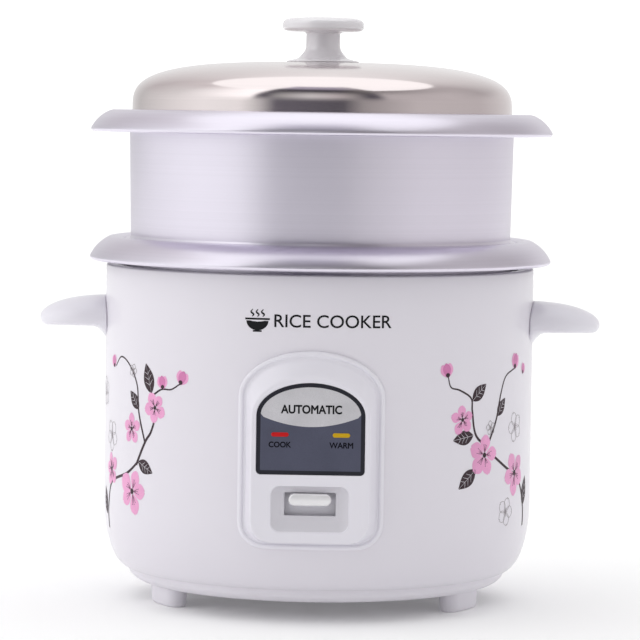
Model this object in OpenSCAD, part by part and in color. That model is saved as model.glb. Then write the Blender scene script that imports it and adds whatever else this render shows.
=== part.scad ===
// Drum rice cooker with a lift-out pot, a second pan standing in it and a domed lid.
// Origin: on the floor under the drum axis. +Z is up and the control panel faces -Y.

/* [Body] */
// Outer radius of the drum
body_r = 128; // [127:0.5:129]
// Height of the drum's top edge above the floor
body_top = 200; // [199:0.5:201]
// Height of the seam between the drum and its base
seam_z = 19.5; // [19:0.5:20]
// Radius of the drum at the seam
seam_r = 113.5; // [112:0.5:115]
// Height of the rounded lower corner
corner_h = 40; // [34:1:44]
// Thickness of the painted sheet
sheet_t = 0.8; // [0.6:0.1:1]

/* [Vessels] */
// Outer radius of the pot's and the pan's rim
rim_r = 138; // [136:0.5:138]
// Height of the lower pot's rim from its rolled edge to its crest
pot_rim_h = 14; // [13:0.5:14.5]
// Height of the second pan's rim from its rolled edge to its crest
pan_rim_h = 13; // [12.5:0.5:14]
// Height of the lower pot's rolled edge above the floor
pot_rim_z = 202.5; // [202:0.5:203]
// Height of the second pan's rolled edge above the floor
pan_rim_z = 278.7; // [276:0.5:280]
// Outer radius of the lower pot's wall
pot_wall_r = 115.2; // [114.5:0.1:115.5]
// Wall thickness of both vessels
vessel_t = 1.2; // [1:0.1:1.4]

/* [Lid] */
// Outer radius of the lid's dome
lid_r = 113.6; // [112:0.2:114]
// Height of the dome above its straight wall's foot
lid_h = 29.7; // [26:0.5:32]
// Radius of the knob's disc
knob_r = 24.2; // [20:0.5:26]
// Height of the knob
knob_h = 26.9; // [24:0.5:30]

/* [Handles] */
// Distance from the axis to a handle's tip
handle_reach = 168; // [160:1:175]
// Width of a handle along the drum
handle_w = 54; // [50:1:60]

/* [Panel] */
// Width of the raised control panel
panel_w = 83; // [80:1:86]
// Height of the raised control panel
panel_h = 112.7; // [110:1:115]
// Height of the panel's lower edge above the floor
panel_z = 44.7; // [44:0.5:46]
// Distance from the axis to the panel's flat face
panel_face = 134; // [133:0.5:135]
// Width of the dark plate on the panel
fascia_w = 61.4; // [58:0.5:63]
// Height of the dark plate
fascia_h = 52; // [48:1:54]

/* [Mechanism] */
// Radius of the heating plate
plate_r = 88; // [80:1:92]
// Height of the heating plate's top
plate_top = 88; // [88:0.1:88.1]
// Height of the cook lever's pivot
pivot_z = 52; // [52:0.1:52.2]
// Distance from the axis to the cook lever's pivot
pivot_y = 60; // [60:0.5:61]

/* [Hidden] */
$fn = 96;

// Clearance between a cutting shape and the face that it cuts through
eps = 1;
// Inner radius of the drum's sheet
shell_in = body_r - sheet_t;

// Drum openings, as X and Z limits
sheet_hole_r = 94;
lever_gap = [[-18, 56], [18, 87]];
lamp_gap = [[-24, 103], [24, 119]];

// Liner
liner_r = 119.8;
liner_z = 64.5;
liner_floor = liner_z + sheet_t;
liner_top = body_top - sheet_t;
well_hole_r = 24;
flange_r = 125.6;

// Base
base_r = 103;
base_foot_z = 11.4;
base_floor = 13.4;
base_screw_r = 99;
base_screw_angles = [25, 155, 205, 335];
foot_angles = [63, 117, 243, 297];
foot_span = 13;
foot_r = 96.5;
foot_w = 13;

// Rim outline, measured from its rolled edge
roll_r = 1.6;
crest_r = 127;
slope_rise = 1.3;
mouth_r = 118.5;
seat_drop = 4;
seat_in_r = 113.9;
pot_crest = pot_rim_z + pot_rim_h;
pan_crest = pan_rim_z + pan_rim_h;
pot_floor = plate_top + 0.2;
pan_floor = 195;
pan_low_r = 112.6;
pan_bead_z = pot_crest - seat_drop + 0.2;
pan_bead_h = 3;

// Lid
lid_t = 0.8;
lid_foot = pan_crest - seat_drop + 0.2;
lid_top = pan_crest + lid_h;
lid_round_w = 3.1;
lid_round_h = 3.4;
washer_z = lid_top - lid_t - 1.06;

// Handles
handle_low = 162;
handle_root_low = 155.5;
handle_mid = 167;
handle_crown = 180.3;
handle_tip_r = 5;
handle_screw_z = 168;
handle_screw_spread = 7;

// Panel
panel_rise = 26.5;
panel_corner = 15;
lip_w = 2.5;
lip_y = 129.4;
face_w = 66.4;
face_z = 49;
face_top = 143;
fascia_z = 87.9;
fascia_rise = 18.6;
fascia_t = 1.2;
fascia_corner = 2.5;
panel_screw_angles = [-13.5, 13.5];
panel_screw_heights = [60, 138];
lamp_x = 17.3;
lamp_z = 110.6;
lamp_w = 10;
lamp_h = 2.6;
recess_z = 55;
recess_w = 44.7;
recess_h = 26.6;
recess_floor = 130.3;
window_w = 29.5;
window_z = 64.2;
window_h = 13.6;
panel_back = 128.6;

// Lever
lever_t = 1.2;
lever_w = 12;
strip_y = 123.4;
lever_knob_w = 24.2;
lever_knob_h = 6.9;
lever_knob_z = 70.3;
pin_r = 1.5;
pin_fit = 0.06;

// Temperature sensor
cap_r = 19;
cap_top = plate_top;
rod_r = 2;
rod_fit = 0.08;
tube_r = 16.2;
tube_top = 78;
shelf_z = 70;
guide_z = 64.5;
guide_t = 1.5;
ferrite_z = 80.4;
magnet_z = 66.5;
magnet_h = 6;
collar_z = 53.1;
sensor_screw_x = 27;
sensor_flange_t = 0.9;

// Heater
heater_screw_angles = [0, 120, 240];
heater_screw_r = 60;
element_r = 66;
element_z = 78.5;
element_tube = 3.5;
terminal_angles = [150, 210];

// Lever bracket
bracket_screw_x = 15;
bracket_screw_ys = [-48, -72];
bracket_front = -78;
bracket_back = -42;

// Switch
switch_screw_ys = [-90, -104];
switch_screw_z = 40;
leaf_y = 88;
leaf_z = 46;
leaf_r = 0.8;
switch_y = 84;

// Inlet
inlet_z = 46;
inlet_w = 46;
inlet_h = 32;
inlet_face = 132;
inlet_screw_x = 19.5;
inlet_pin_x = 8;
inlet_pin_r = 2;

function ellipse_x(a, t) = a * cos(t);
function ellipse_y(b, t) = b * sin(t);

// Outline of the drum's outside from the seam up, inset by d.
function drum_side(d) = [
  for (t = [0:7.5:90])
    [seam_r + (body_r - seam_r) * sin(t) - d, seam_z + (corner_h - d) * (1 - cos(t)) + d]
];

// Dome outline from the axis out to the wall, for a dome of radius r and height h from z.
function dome(r, h, z) = [
  for (t = [0:4.5:90])
    [r * pow(sin(t), 2 / lid_round_w), z + h * pow(cos(t), 2 / lid_round_h)]
];

// Corner outline of a vessel from its floor out to its wall.
function vessel_corner(r, z, c) = [
  for (t = [-90:15:0]) [r - c + c * cos(t), z + c + c * sin(t)]
];

// Arc of radius r about a centre, from angle a to angle b in n steps.
function arc(cx, cy, r, a, b, n) = [
  for (i = [0:n]) [cx + r * cos(a + (b - a) * i / n), cy + r * sin(a + (b - a) * i / n)]
];

// Rectangle w by h with rounded corners, centred on the origin.
function rounded(w, h, corner) = concat(
  arc(w / 2 - corner, h / 2 - corner, corner, 0, 90, 6),
  arc(-w / 2 + corner, h / 2 - corner, corner, 90, 180, 6),
  arc(-w / 2 + corner, -h / 2 + corner, corner, 180, 270, 6),
  arc(w / 2 - corner, -h / 2 + corner, corner, 270, 360, 6)
);

// The drum as a solid block, for shaping what lies against it.
module drum_block() rotate_extrude() polygon(concat(
  [[0, seam_z]], drum_side(0), [[body_r, body_top], [0, body_top]]
));

// Places children, drawn at the front, at angle a around the axis towards +X.
module around(angles) {
  for (a = angles) rotate([0, 0, a]) children();
}

// A cylinder along Y with its centre line at x and z, from y0 back to y1.
module along_y(x, z, r, y0, y1) {
  translate([x, y1, z]) rotate([90, 0, 0]) cylinder(r = r, h = y1 - y0);
}

// A cylinder along X with its centre line at y and z, from x0 to x1.
module along_x(y, z, r, x0, x1) {
  translate([x0, y, z]) rotate([0, 90, 0]) cylinder(r = r, h = x1 - x0);
}

// A box given by its low and high corners.
module span(low, high) {
  translate(low) cube(high - low);
}

// A pan-head screw pointing up, with its head's top face at z = 0.
module screw_up(r, length, head_r, head_h) {
  translate([0, 0, -head_h]) cylinder(r = head_r, h = head_h);
  cylinder(r = r, h = length);
}

// An upright outline with an arched top, drawn in X and Z and standing from y0 back to y1.
module arched(w, z0, z1, rise, corner, y0, y1) {
  translate([0, y1, 0]) rotate([90, 0, 0]) linear_extrude(y1 - y0) polygon(concat(
    arc(-w / 2 + corner, z0 + corner, corner, 180, 270, 8),
    arc(w / 2 - corner, z0 + corner, corner, 270, 360, 8),
    [for (t = [0:7.5:180]) [ellipse_x(w / 2, t), z1 - rise + ellipse_y(rise, t)]]
  ));
}

// A round-ended bar lying along X, drawn in X and Z and standing from y0 back to y1.
module stadium(x, z, w, h, y0, y1) {
  for (s = [-1, 1]) along_y(x + s * (w - h) / 2, z, h / 2, y0, y1);
  span([x - (w - h) / 2, y0, z - h / 2], [x + (w - h) / 2, y1, z + h / 2]);
}

// ---------- drum ----------

module outer_shell() color("lavenderblush") difference() {
  rotate_extrude() polygon(concat(
    [[sheet_hole_r, seam_z]],
    drum_side(0),
    arc(body_r - 2, body_top - 2, 2, 0, 90, 4),
    [[120.5, body_top], [120.5, body_top - sheet_t], [body_r - 2.4, body_top - sheet_t]],
    [[shell_in, body_top - 2.4]],
    [for (i = [len(drum_side(0)) - 1:-1:0]) drum_side(sheet_t)[i]],
    [[sheet_hole_r, seam_z + sheet_t]]
  ));
  // lever opening and lamp opening behind the panel
  for (gap = [lever_gap, lamp_gap])
    span([gap[0].x, -body_r - eps, gap[0].y], [gap[1].x, -100, gap[1].y]);
  around(panel_screw_angles) for (z = panel_screw_heights) along_y(0, z, 1.6, -body_r - eps, -120);
  // handle screw holes
  around(handle_holes()) along_y(0, handle_screw_z, 2.1, -body_r - eps, -120);
  // inlet opening and its screw holes
  span([-16, 110, inlet_z - 12], [16, body_r + eps, inlet_z + 12]);
  for (s = [-1, 1]) along_y(s * inlet_screw_x, inlet_z, 1.3, 120, body_r + eps);
  around(base_screw_angles) translate([0, -base_screw_r, seam_z - eps]) cylinder(r = 1.55, h = 4);
}

function handle_holes() = [
  for (side = [90, -90]) for (s = [-1, 1]) side + s * handle_screw_spread
];

module inner_liner() color("gainsboro") difference() {
  rotate_extrude() polygon(concat(
    [[well_hole_r, liner_z]],
    vessel_corner(liner_r, liner_z, 8),
    [[liner_r, liner_top - sheet_t], [flange_r, liner_top - sheet_t], [flange_r, liner_top]],
    [[liner_r - sheet_t, liner_top]],
    [for (i = [6:-1:0]) vessel_corner(liner_r - sheet_t, liner_floor, 7.2)[i]],
    [[well_hole_r, liner_floor]]
  ));
  around(heater_screw_angles) translate([0, heater_screw_r, liner_z - eps]) cylinder(r = 2.2, h = 3);
  around(terminal_angles) translate([0, -element_r, liner_z - eps]) cylinder(r = 5.2, h = 3);
  for (s = [-1, 1]) translate([s * sensor_screw_x, 0, liner_z - eps]) cylinder(r = 1.3, h = 3);
  for (y = bracket_screw_ys) for (s = [-1, 1])
    translate([s * bracket_screw_x, y, liner_z - eps]) cylinder(r = 1.3, h = 3);
}

module base_cover() color("white") difference() {
  union() {
    rotate_extrude() polygon(concat(
      [[0, base_foot_z], [base_r, base_foot_z]],
      [for (t = [15:15:90]) [base_r + (seam_r - base_r) * sin(t), seam_z - (seam_z - base_foot_z) * cos(t)]],
      [[108, seam_z], [106, base_floor + 1], [102, base_floor], [0, base_floor]]
    ));
    around(base_screw_angles) translate([0, -base_screw_r, base_floor - eps])
      cylinder(r = 5, h = seam_z - base_floor + eps);
    around(foot_angles) translate([0, -foot_r, base_floor - eps]) cylinder(r = 4.5, h = 6);
  }
  around(base_screw_angles) translate([0, -base_screw_r, base_foot_z - eps]) {
    cylinder(r = 3.6, h = 3);
    cylinder(r = 1.55, h = 12);
  }
  around(foot_angles) translate([0, -foot_r, base_foot_z - eps]) cylinder(r = 1.5, h = 6.5);
  // ventilation slots in two rings
  around([for (i = [0:15]) i * 22.5]) span([-2, -78, base_foot_z - eps], [2, -56, base_floor + eps]);
  around([for (i = [0:7]) i * 45]) span([-2, -44, base_foot_z - eps], [2, -28, base_floor + eps]);
}

module foot() difference() {
  union() {
    rotate([0, 0, -90 - foot_span / 2]) rotate_extrude(angle = foot_span)
      translate([foot_r - foot_w / 2, 0]) square([foot_w, base_foot_z]);
    around([-foot_span / 2, foot_span / 2]) translate([0, -foot_r, 0])
      cylinder(r = foot_w / 2, h = base_foot_z);
  }
  translate([0, -foot_r, -eps]) cylinder(r = 3.8, h = 6 + eps);
  translate([0, -foot_r, 0]) cylinder(r = 1.8, h = base_foot_z + eps);
}

module feet() color("white") around(foot_angles) foot();

module base_screws() color("silver") around(base_screw_angles)
  translate([0, -base_screw_r, base_foot_z + 2]) screw_up(1.5, seam_z + 3 - base_foot_z - 2, 3.2, 1.8);

module foot_screws() color("silver") around(foot_angles)
  translate([0, -foot_r, 6]) screw_up(1.5, 10.6, 3.4, 2);

// ---------- handles ----------

// Handle seen from the front, as an outline in X and Z for the right side.
function handle_side() = concat(
  [[110, handle_root_low], [body_r + 1.2, handle_root_low]],
  arc(body_r + 9, handle_low - 6.5, 6.5, 160, 90, 6),
  arc(handle_reach - handle_tip_r, handle_low + handle_tip_r, handle_tip_r, 270, 345, 5),
  [for (t = [0:9:90]) [
    body_r + (handle_reach - body_r) * cos(t),
    handle_mid + (handle_crown - handle_mid) * sin(t)
  ]],
  [[110, handle_crown]]
);

module handle() difference() {
  intersection() {
    rotate([90, 0, 0]) translate([0, 0, -50]) linear_extrude(100) polygon(handle_side());
    // plan of the handle with an elliptical tip
    translate([0, 0, 150]) linear_extrude(40) polygon(concat(
      [[110, handle_w / 2], [110, -handle_w / 2]],
      [for (t = [-90:9:90]) [
        body_r + 12 + (handle_reach - body_r - 12) * cos(t), handle_w / 2 * sin(t)
      ]]
    ));
    // crown across the handle
    translate([100, 0, 0]) rotate([90, 0, 90]) linear_extrude(80) polygon(concat(
      [[-handle_w / 2, 140], [handle_w / 2, 140]],
      [for (t = [0:10:180]) [
        handle_w / 2 * cos(t), handle_mid - 1 + (handle_crown - handle_mid + 1) * sin(t)
      ]]
    ));
  }
  translate([0, 0, 100]) cylinder(r = body_r, h = 100);
  // hollow for the fingers under the grip
  span([138, -17, 150], [159, 17, 169]);
  rotate([0, 0, 90]) around([-handle_screw_spread, handle_screw_spread])
    along_y(0, handle_screw_z, 1.6, -body_r - 8.5, -120);
}

module right_handle() color("white") handle();

module left_handle() color("white") mirror([1, 0, 0]) handle();

module handle_screws() color("silver") around(handle_holes()) {
  along_y(0, handle_screw_z, 1.6, -body_r - 8, -shell_in + 0.2);
  along_y(0, handle_screw_z, 3.4, -shell_in + 0.2, -shell_in + 2.2);
}

// ---------- control panel ----------

module panel_outline(y0, y1, inset) arched(
  panel_w - 2 * inset, panel_z + inset, panel_z + panel_h - inset,
  panel_rise, panel_corner - inset, y0, y1
);

module control_panel() color("whitesmoke") difference() {
  union() {
    panel_outline(-lip_y, -116, 0);
    hull() {
      panel_outline(-lip_y - 0.4, -lip_y, lip_w);
      arched(face_w, face_z, face_top, 24, 12, -panel_face, -panel_face + 0.1);
    }
  }
  drum_block();
  // pocket for the dark plate
  arched(fascia_w, fascia_z, fascia_z + fascia_h, fascia_rise, fascia_corner,
    -panel_face - eps, -panel_face + fascia_t);
  // dished recess and the lever window
  hull() {
    panel_recess(recess_w, recess_h, 5.4, -panel_face - 0.1, -panel_face + 0.1);
    panel_recess(recess_w - 11, recess_h - 9, 3, -recess_floor - 0.1, -recess_floor);
  }
  span([-window_w / 2, -recess_floor - 2, window_z], [window_w / 2, -100, window_z + window_h]);
  span([-18, -panel_back, 56.5], [18, -100, 86.5]);
  // lamp slots and the hollow behind them
  for (s = [-1, 1]) stadium(s * lamp_x, lamp_z, lamp_w + 0.2, lamp_h + 0.2, -panel_face, -120);
  span([-26, -panel_face + 2.6, 100], [26, -110, 124]);
  around(panel_screw_angles) for (z = panel_screw_heights) along_y(0, z, 1.25, -body_r - 3.5, -120);
}

module panel_recess(w, h, corner, y0, y1) translate([0, y1, recess_z + recess_h / 2])
  rotate([90, 0, 0]) linear_extrude(y1 - y0) polygon(rounded(w, h, corner));

module fascia_plate() color("slategray") difference() {
  arched(fascia_w - 0.2, fascia_z + 0.1, fascia_z + fascia_h - 0.1, fascia_rise, fascia_corner,
    -panel_face, -panel_face + fascia_t);
  for (s = [-1, 1])
    stadium(s * lamp_x, lamp_z, lamp_w + 0.2, lamp_h + 0.2, -panel_face - eps, -panel_face + 2);
}

module lamp_lens(x) {
  stadium(x, lamp_z, lamp_w, lamp_h, -panel_face - 0.3, -panel_face + 2.6);
  stadium(x, lamp_z, lamp_w + 2, lamp_h + 2, -panel_face + 2.6, -panel_face + 3.4);
}

module cook_lamp_lens() color("red") lamp_lens(-lamp_x);

module warm_lamp_lens() color("gold") lamp_lens(lamp_x);

module neon_lamps() color("orange") for (s = [-1, 1]) {
  along_x(-128.4, lamp_z, 1.9, s * lamp_x - 4.5, s * lamp_x + 4.5);
}

module panel_screws() color("silver") around(panel_screw_angles) for (z = panel_screw_heights) {
  along_y(0, z, 1.25, -body_r - 3, -shell_in + 0.1);
  along_y(0, z, 2.6, -shell_in + 0.1, -shell_in + 1.7);
}

// ---------- supply ----------

// Upright plate with rounded corners, centred on the inlet, from y0 back to y1.
module inlet_plate(w, h, corner, y0, y1) translate([0, y1, inlet_z]) rotate([90, 0, 0])
  linear_extrude(y1 - y0) polygon(rounded(w, h, corner));

module power_inlet() color("dimgray") difference() {
  union() {
    difference() {
      inlet_plate(inlet_w, inlet_h, 5, 118, inlet_face);
      drum_block();
    }
    span([-15.8, 105, inlet_z - 11.8], [15.8, body_r + 0.5, inlet_z + 11.8]);
  }
  span([-14, 108, inlet_z - 10], [14, inlet_face + eps, inlet_z + 10]);
  for (s = [-1, 1]) along_y(s * inlet_screw_x, inlet_z, 1.6, 120, inlet_face + eps);
  for (s = [-1, 1]) along_y(s * inlet_pin_x, inlet_z - 1, inlet_pin_r, 104, 109);
  along_y(0, inlet_z - 6, inlet_pin_r, 104, 109);
}

module inlet_pins() color("gold") {
  for (s = [-1, 1]) along_y(s * inlet_pin_x, inlet_z - 1, inlet_pin_r, 98, 126);
  along_y(0, inlet_z - 6, inlet_pin_r, 98, 126);
}

module inlet_screws() color("silver") for (s = [-1, 1]) {
  along_y(s * inlet_screw_x, inlet_z, 1.25, 120, inlet_face);
  along_y(s * inlet_screw_x, inlet_z, 3, inlet_face, inlet_face + 1.6);
}

module terminal_block() color("ivory") difference() {
  span([36, 40, base_floor], [68, 56, base_floor + 14]);
  for (x = [44, 52, 60]) translate([x, 48, base_floor + 6]) cylinder(r = 2.2, h = 12);
}

// A wire of radius r swept along its route's points.
module wire(route, r, sides = 8) {
  n = len(route);
  along = [for (i = [0:n - 1]) unit(route[min(i + 1, n - 1)] - route[max(i - 1, 0)])];
  right = [for (i = [0:n - 1]) unit(cross(along[i], abs(along[i].z) > 0.9 ? [0, 1, 0] : [0, 0, 1]))];
  rings = [for (i = [0:n - 1]) for (k = [0:sides - 1])
    route[i] + r * (cos(360 * k / sides) * right[i] + sin(360 * k / sides) * cross(right[i], along[i]))];
  sleeve = [for (i = [0:n - 2]) for (k = [0:sides - 1])
    let (a = i * sides + k, b = i * sides + (k + 1) % sides) [a, b, b + sides, a + sides]];
  polyhedron(rings, concat([[for (k = [sides - 1:-1:0]) k]], sleeve,
    [[for (k = [0:sides - 1]) (n - 1) * sides + k]]));
}

function unit(v) = v / norm(v);

// Wire routes run clear of the lever and its rod, from terminal to terminal.
wire_r = 1.2;
live_route = [[8, 98, 45], [8, 94, 45], [16, 86, 42], [30, 74, 36], [42, 60, 32], [46, 50, 28.6]];
neutral_route = [[-8, 98, 45], [-8, 94, 45], [-16, 86, 44], [-28, 76, 47], [-33, 66, 50],
  [-33, 59, 52], [-33, 57.2, 55.5], [-33, 57.2, 59]];
earth_route = [[0, 98, 40], [0, 94, 40], [-2, 86, 45], [-4, 80, 55], [-4, 80, liner_z]];
fuse_route = [[58, 46, 28.6], [60, 38, 34], [50, 36, 46], [30, 44, 52], [12, 52, 50], [5, 56, 52],
  [6, 58, 56], [10, 58, 56]];
fuse_lead_route = [[22, 58, 56], [24, 58, 56], [27, 57.8, 55], [31, 57.4, 53.5], [33, 57.2, 56],
  [33, 57.2, 59]];
lamp_route = [[20, -124.6, 106], [34, -118.5, 98], [50, -112.5, 80], [55, -110, 66], [60, -103, 54],
  [66, -70, 40], [66, -30, 30], [64, 20, 28], [62, 44, 28.6]];

module wiring() color("firebrick") {
  wire(live_route, wire_r);
  wire(neutral_route, wire_r);
  wire(earth_route, wire_r);
  wire(fuse_route, wire_r);
  wire(fuse_lead_route, wire_r);
  wire(lamp_route, wire_r);
}

// ---------- heater ----------

module heating_plate() color("darkgray") difference() {
  rotate_extrude() polygon([
    [21, 76], [56, 76], [59, 73.5], [73, 73.5], [76, 76], [84, 76], [plate_r, 80],
    [plate_r, plate_top - 1.5], [plate_r - 1.5, plate_top], [22, plate_top], [21, plate_top - 1]
  ]);
  rotate_extrude() translate([element_r, element_z]) circle(r = element_tube);
  around(terminal_angles) translate([0, -element_r, 70]) cylinder(r = 3, h = element_z - 70);
  around(heater_screw_angles) translate([0, heater_screw_r, 70]) cylinder(r = 6, h = 4.5);
  around(heater_screw_angles) translate([0, heater_screw_r, 66]) cylinder(r = 2, h = 12);
}

module heating_element() color("dimgray") {
  rotate_extrude() translate([element_r, element_z]) circle(r = element_tube);
  around(terminal_angles) translate([0, -element_r, 59]) cylinder(r = 2, h = element_z - 59);
}

module terminal_bushes() color("ivory") around(terminal_angles) difference() {
  union() {
    translate([0, -element_r, 61]) cylinder(r = 5, h = 8.5);
    translate([0, -element_r, liner_z - 1.6]) cylinder(r = 7, h = 1.5);
  }
  translate([0, -element_r, 60]) cylinder(r = 2.05, h = 11);
}

module heater_spacers() color("silver") around(heater_screw_angles) difference() {
  translate([0, heater_screw_r, liner_floor]) cylinder(r = 5, h = 74.5 - liner_floor);
  translate([0, heater_screw_r, 60]) cylinder(r = 2.1, h = 20);
}

module heater_screws() color("silver") around(heater_screw_angles)
  translate([0, heater_screw_r, liner_z]) screw_up(1.95, 13, 3.8, 2.2);

module thermal_fuse() color("khaki") {
  along_x(58, 56, 2.4, 10, 22);
  translate([16, 58, 56]) cylinder(r = 1, h = liner_z - 56);
}

module warm_thermostat() color("saddlebrown") {
  translate([-45, 22, 58.5]) cylinder(r = 8, h = 5.2);
  translate([-45, 22, 63.7]) cylinder(r = 11, h = 0.8);
  for (s = [-1, 1]) span([-45 + s * 5 - 1.5, 21.5, 50], [-45 + s * 5 + 1.5, 22.5, 58.5]);
}

// ---------- temperature sensor ----------

module sensor_base() color("silver") difference() {
  rotate_extrude() polygon([
    [rod_r + rod_fit, guide_z], [tube_r - 1, guide_z], [tube_r - 1, liner_z - sensor_flange_t],
    [31, liner_z - sensor_flange_t], [31, liner_z], [tube_r, liner_z], [tube_r, tube_top],
    [tube_r - 1, tube_top], [tube_r - 1, shelf_z], [12, shelf_z], [12, shelf_z - 1],
    [tube_r - 1, shelf_z - 1], [tube_r - 1, guide_z + guide_t], [rod_r + rod_fit, guide_z + guide_t]
  ]);
  for (s = [-1, 1]) translate([s * sensor_screw_x, 0, liner_z - 2]) cylinder(r = 1.3, h = 3);
}

module sensor_screws() color("silver") for (s = [-1, 1])
  translate([s * sensor_screw_x, 0, liner_z - sensor_flange_t]) screw_up(1.2, 4, 2.6, 1.5);

module sensor_cap() color("lightgray") rotate_extrude() polygon([
  [0, cap_top], [cap_r - 2, cap_top], [cap_r - 0.6, cap_top - 0.6], [cap_r, cap_top - 2],
  [cap_r, 74], [cap_r - 1, 74], [cap_r - 1, cap_top - 1.6], [0, cap_top - 1.6]
]);

module ferrite() color("darkslategray") translate([0, 0, ferrite_z])
  cylinder(r = 11, h = cap_top - 1.6 - ferrite_z);

// A round-wire compression spring of mean radius r between z0 and z1.
module spring(r, wire_radius, turns, z0, z1) {
  steps = turns * 12;
  wire([for (i = [0:steps]) [
    r * cos(30 * i), r * sin(30 * i), z0 + wire_radius + (z1 - z0 - 2 * wire_radius) * i / steps
  ]], wire_radius, 6);
}

module sensor_spring() color("silver") spring(13.4, 0.7, 5, shelf_z + 0.1, cap_top - 1.7);

module magnet() color("dimgray") translate([0, 0, magnet_z]) cylinder(r = 11, h = magnet_h);

module magnet_rod() color("silver") {
  translate([0, 0, 48]) cylinder(r = rod_r, h = magnet_z - 48);
  translate([0, 0, collar_z]) cylinder(r = 4, h = 1.2);
}

module magnet_spring() color("silver") spring(3, 0.4, 5, collar_z + 1.3, guide_z - 0.1);

// ---------- cook lever ----------

module lever_bracket() color("silver") difference() {
  union() {
    for (s = [-1, 1]) span([s * 9.6 - 0.6, bracket_front, 46], [s * 9.6 + 0.6, bracket_back, liner_z]);
    span([9, -110, 36], [10.2, -70, 60]);
    span([-19.6, bracket_front, liner_z - lever_t], [19.6, bracket_back, liner_z]);
  }
  along_x(-pivot_y, pivot_z, pin_r + 0.02, -20, 20);
  for (y = bracket_screw_ys) for (s = [-1, 1])
    translate([s * bracket_screw_x, y, 60]) cylinder(r = 1.3, h = 8);
  for (y = switch_screw_ys) along_x(y, switch_screw_z, 1.3, 5, 15);
}

module bracket_screws() color("silver") for (y = bracket_screw_ys) for (s = [-1, 1])
  translate([s * bracket_screw_x, y, liner_z - lever_t]) screw_up(1.25, 4, 2.6, 1.5);

module lever_pivot_pin() color("silver") {
  along_x(-pivot_y, pivot_z, pin_r, -11.4, 11.4);
  for (s = [-1, 1]) along_x(-pivot_y, pivot_z, 2.4, s * 11.4 - 0.6, s * 11.4 + 0.6);
}

module lever_arm() color("silver") difference() {
  union() {
    span([-lever_w / 2, -strip_y, pivot_z - lever_t / 2], [lever_w / 2, 6, pivot_z + lever_t / 2]);
    span([-lever_w / 2, -strip_y - lever_t / 2, pivot_z - lever_t / 2],
      [lever_w / 2, -strip_y + lever_t / 2, 75]);
    for (s = [-1, 1]) span([s * 7.2 - 1.2, -pivot_y - 6, 47.5], [s * 7.2 + 1.2, -pivot_y + 6, 56.5]);
  }
  along_x(-pivot_y, pivot_z, pin_r + pin_fit, -20, 20);
  // relief around the pin through the strip itself
  span([-5, -pivot_y - 3, 50], [5, -pivot_y + 3, 54]);
  translate([0, 0, 50]) cylinder(r = 3.2, h = 4);
}

module lever_knob() color("gainsboro") difference() {
  union() {
    stadium(0, lever_knob_z + lever_knob_h / 2, lever_knob_w, lever_knob_h, -panel_face - 0.6, -129.6);
    span([-9, -129.6, lever_knob_z + 1.2], [9, -124, lever_knob_z + lever_knob_h - 1.2]);
    // curtain that keeps the window covered
    span([-16, -strip_y - 1.8, 57.5], [16, -strip_y - lever_t / 2, 83.5]);
  }
  span([-lever_w / 2, -strip_y - lever_t / 2, 50], [lever_w / 2, -strip_y + lever_t / 2, 75]);
}

// ---------- microswitch ----------

module microswitch() color("dimgray") difference() {
  union() {
    span([-1, -110, 36], [9, -switch_y, 44.4]);
    for (x = [-0.2, 7]) span([x, -leaf_y - 1.6, 44.4], [x + 1.6, -leaf_y + 1.6, 47.6]);
  }
  along_x(-leaf_y, leaf_z, leaf_r + 0.05, -5, 12);
  for (y = switch_screw_ys) along_x(y, switch_screw_z, 1.25, 3, 12);
}

module switch_screws() color("silver") for (y = switch_screw_ys) {
  along_x(y, switch_screw_z, 1.2, 4, 10.2);
  along_x(y, switch_screw_z, 2.4, 10.2, 11.7);
}

module switch_leaf() color("gold") {
  along_x(-leaf_y, leaf_z, leaf_r, -0.6, 8.8);
  translate([0, -leaf_y, leaf_z]) rotate([-14.7, 0, 0]) span([2, -16, -0.25], [6.4, 0, 0.25]);
}

// ---------- vessels and lid ----------

// Points between a and b, pushed to the left of the way from a to b by the given rise at its middle.
function bulged(a, b, rise) = [
  for (i = [1:5])
    let(t = i / 6) a + t * (b - a) + 4 * rise * t * (1 - t) * [a.y - b.y, b.x - a.x] / norm(b - a)
];

// Top of a vessel's rim in section, from its lid seat out to its rolled edge, for a crest at z.
function rim_top(z, h) = concat(
  [[seat_in_r, z - seat_drop], [mouth_r, z - seat_drop], [mouth_r, z - 2.2]],
  arc(mouth_r + 2.4, z - 2.2, 2.4, 180, 105, 4),
  arc(crest_r - 2, z - 4, 4, 95, 64, 3),
  bulged([crest_r - 0.25, z - 0.4], [rim_r - 0.15, z - h + 2.25], slope_rise),
  arc(rim_r - roll_r, z - h + roll_r, roll_r, 24, -140, 11)
);

// Underside of the same rim, from its rolled edge back in to the wall.
function rim_under(z, h) = concat(
  bulged([rim_r - 2.8, z - h + 0.6], [crest_r - 0.8, z - 1.5], -slope_rise),
  arc(crest_r - 2, z - 4, 4 - vessel_t, 64, 95, 3),
  [[mouth_r + vessel_t, z - vessel_t - 0.6], [mouth_r + vessel_t, z - seat_drop - vessel_t]]
);

module inner_pot() color("silver") rotate_extrude() polygon(concat(
  [[0, pot_floor], [0, pot_floor + vessel_t]],
  vessel_corner(pot_wall_r - vessel_t, pot_floor + vessel_t, 12),
  [[pot_wall_r - vessel_t, pot_crest - seat_drop - 1]],
  rim_top(pot_crest, pot_rim_h),
  rim_under(pot_crest, pot_rim_h),
  [[pot_wall_r, pot_crest - seat_drop - vessel_t]],
  [for (i = [6:-1:0]) vessel_corner(pot_wall_r, pot_floor, 13.2)[i]]
));

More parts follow.
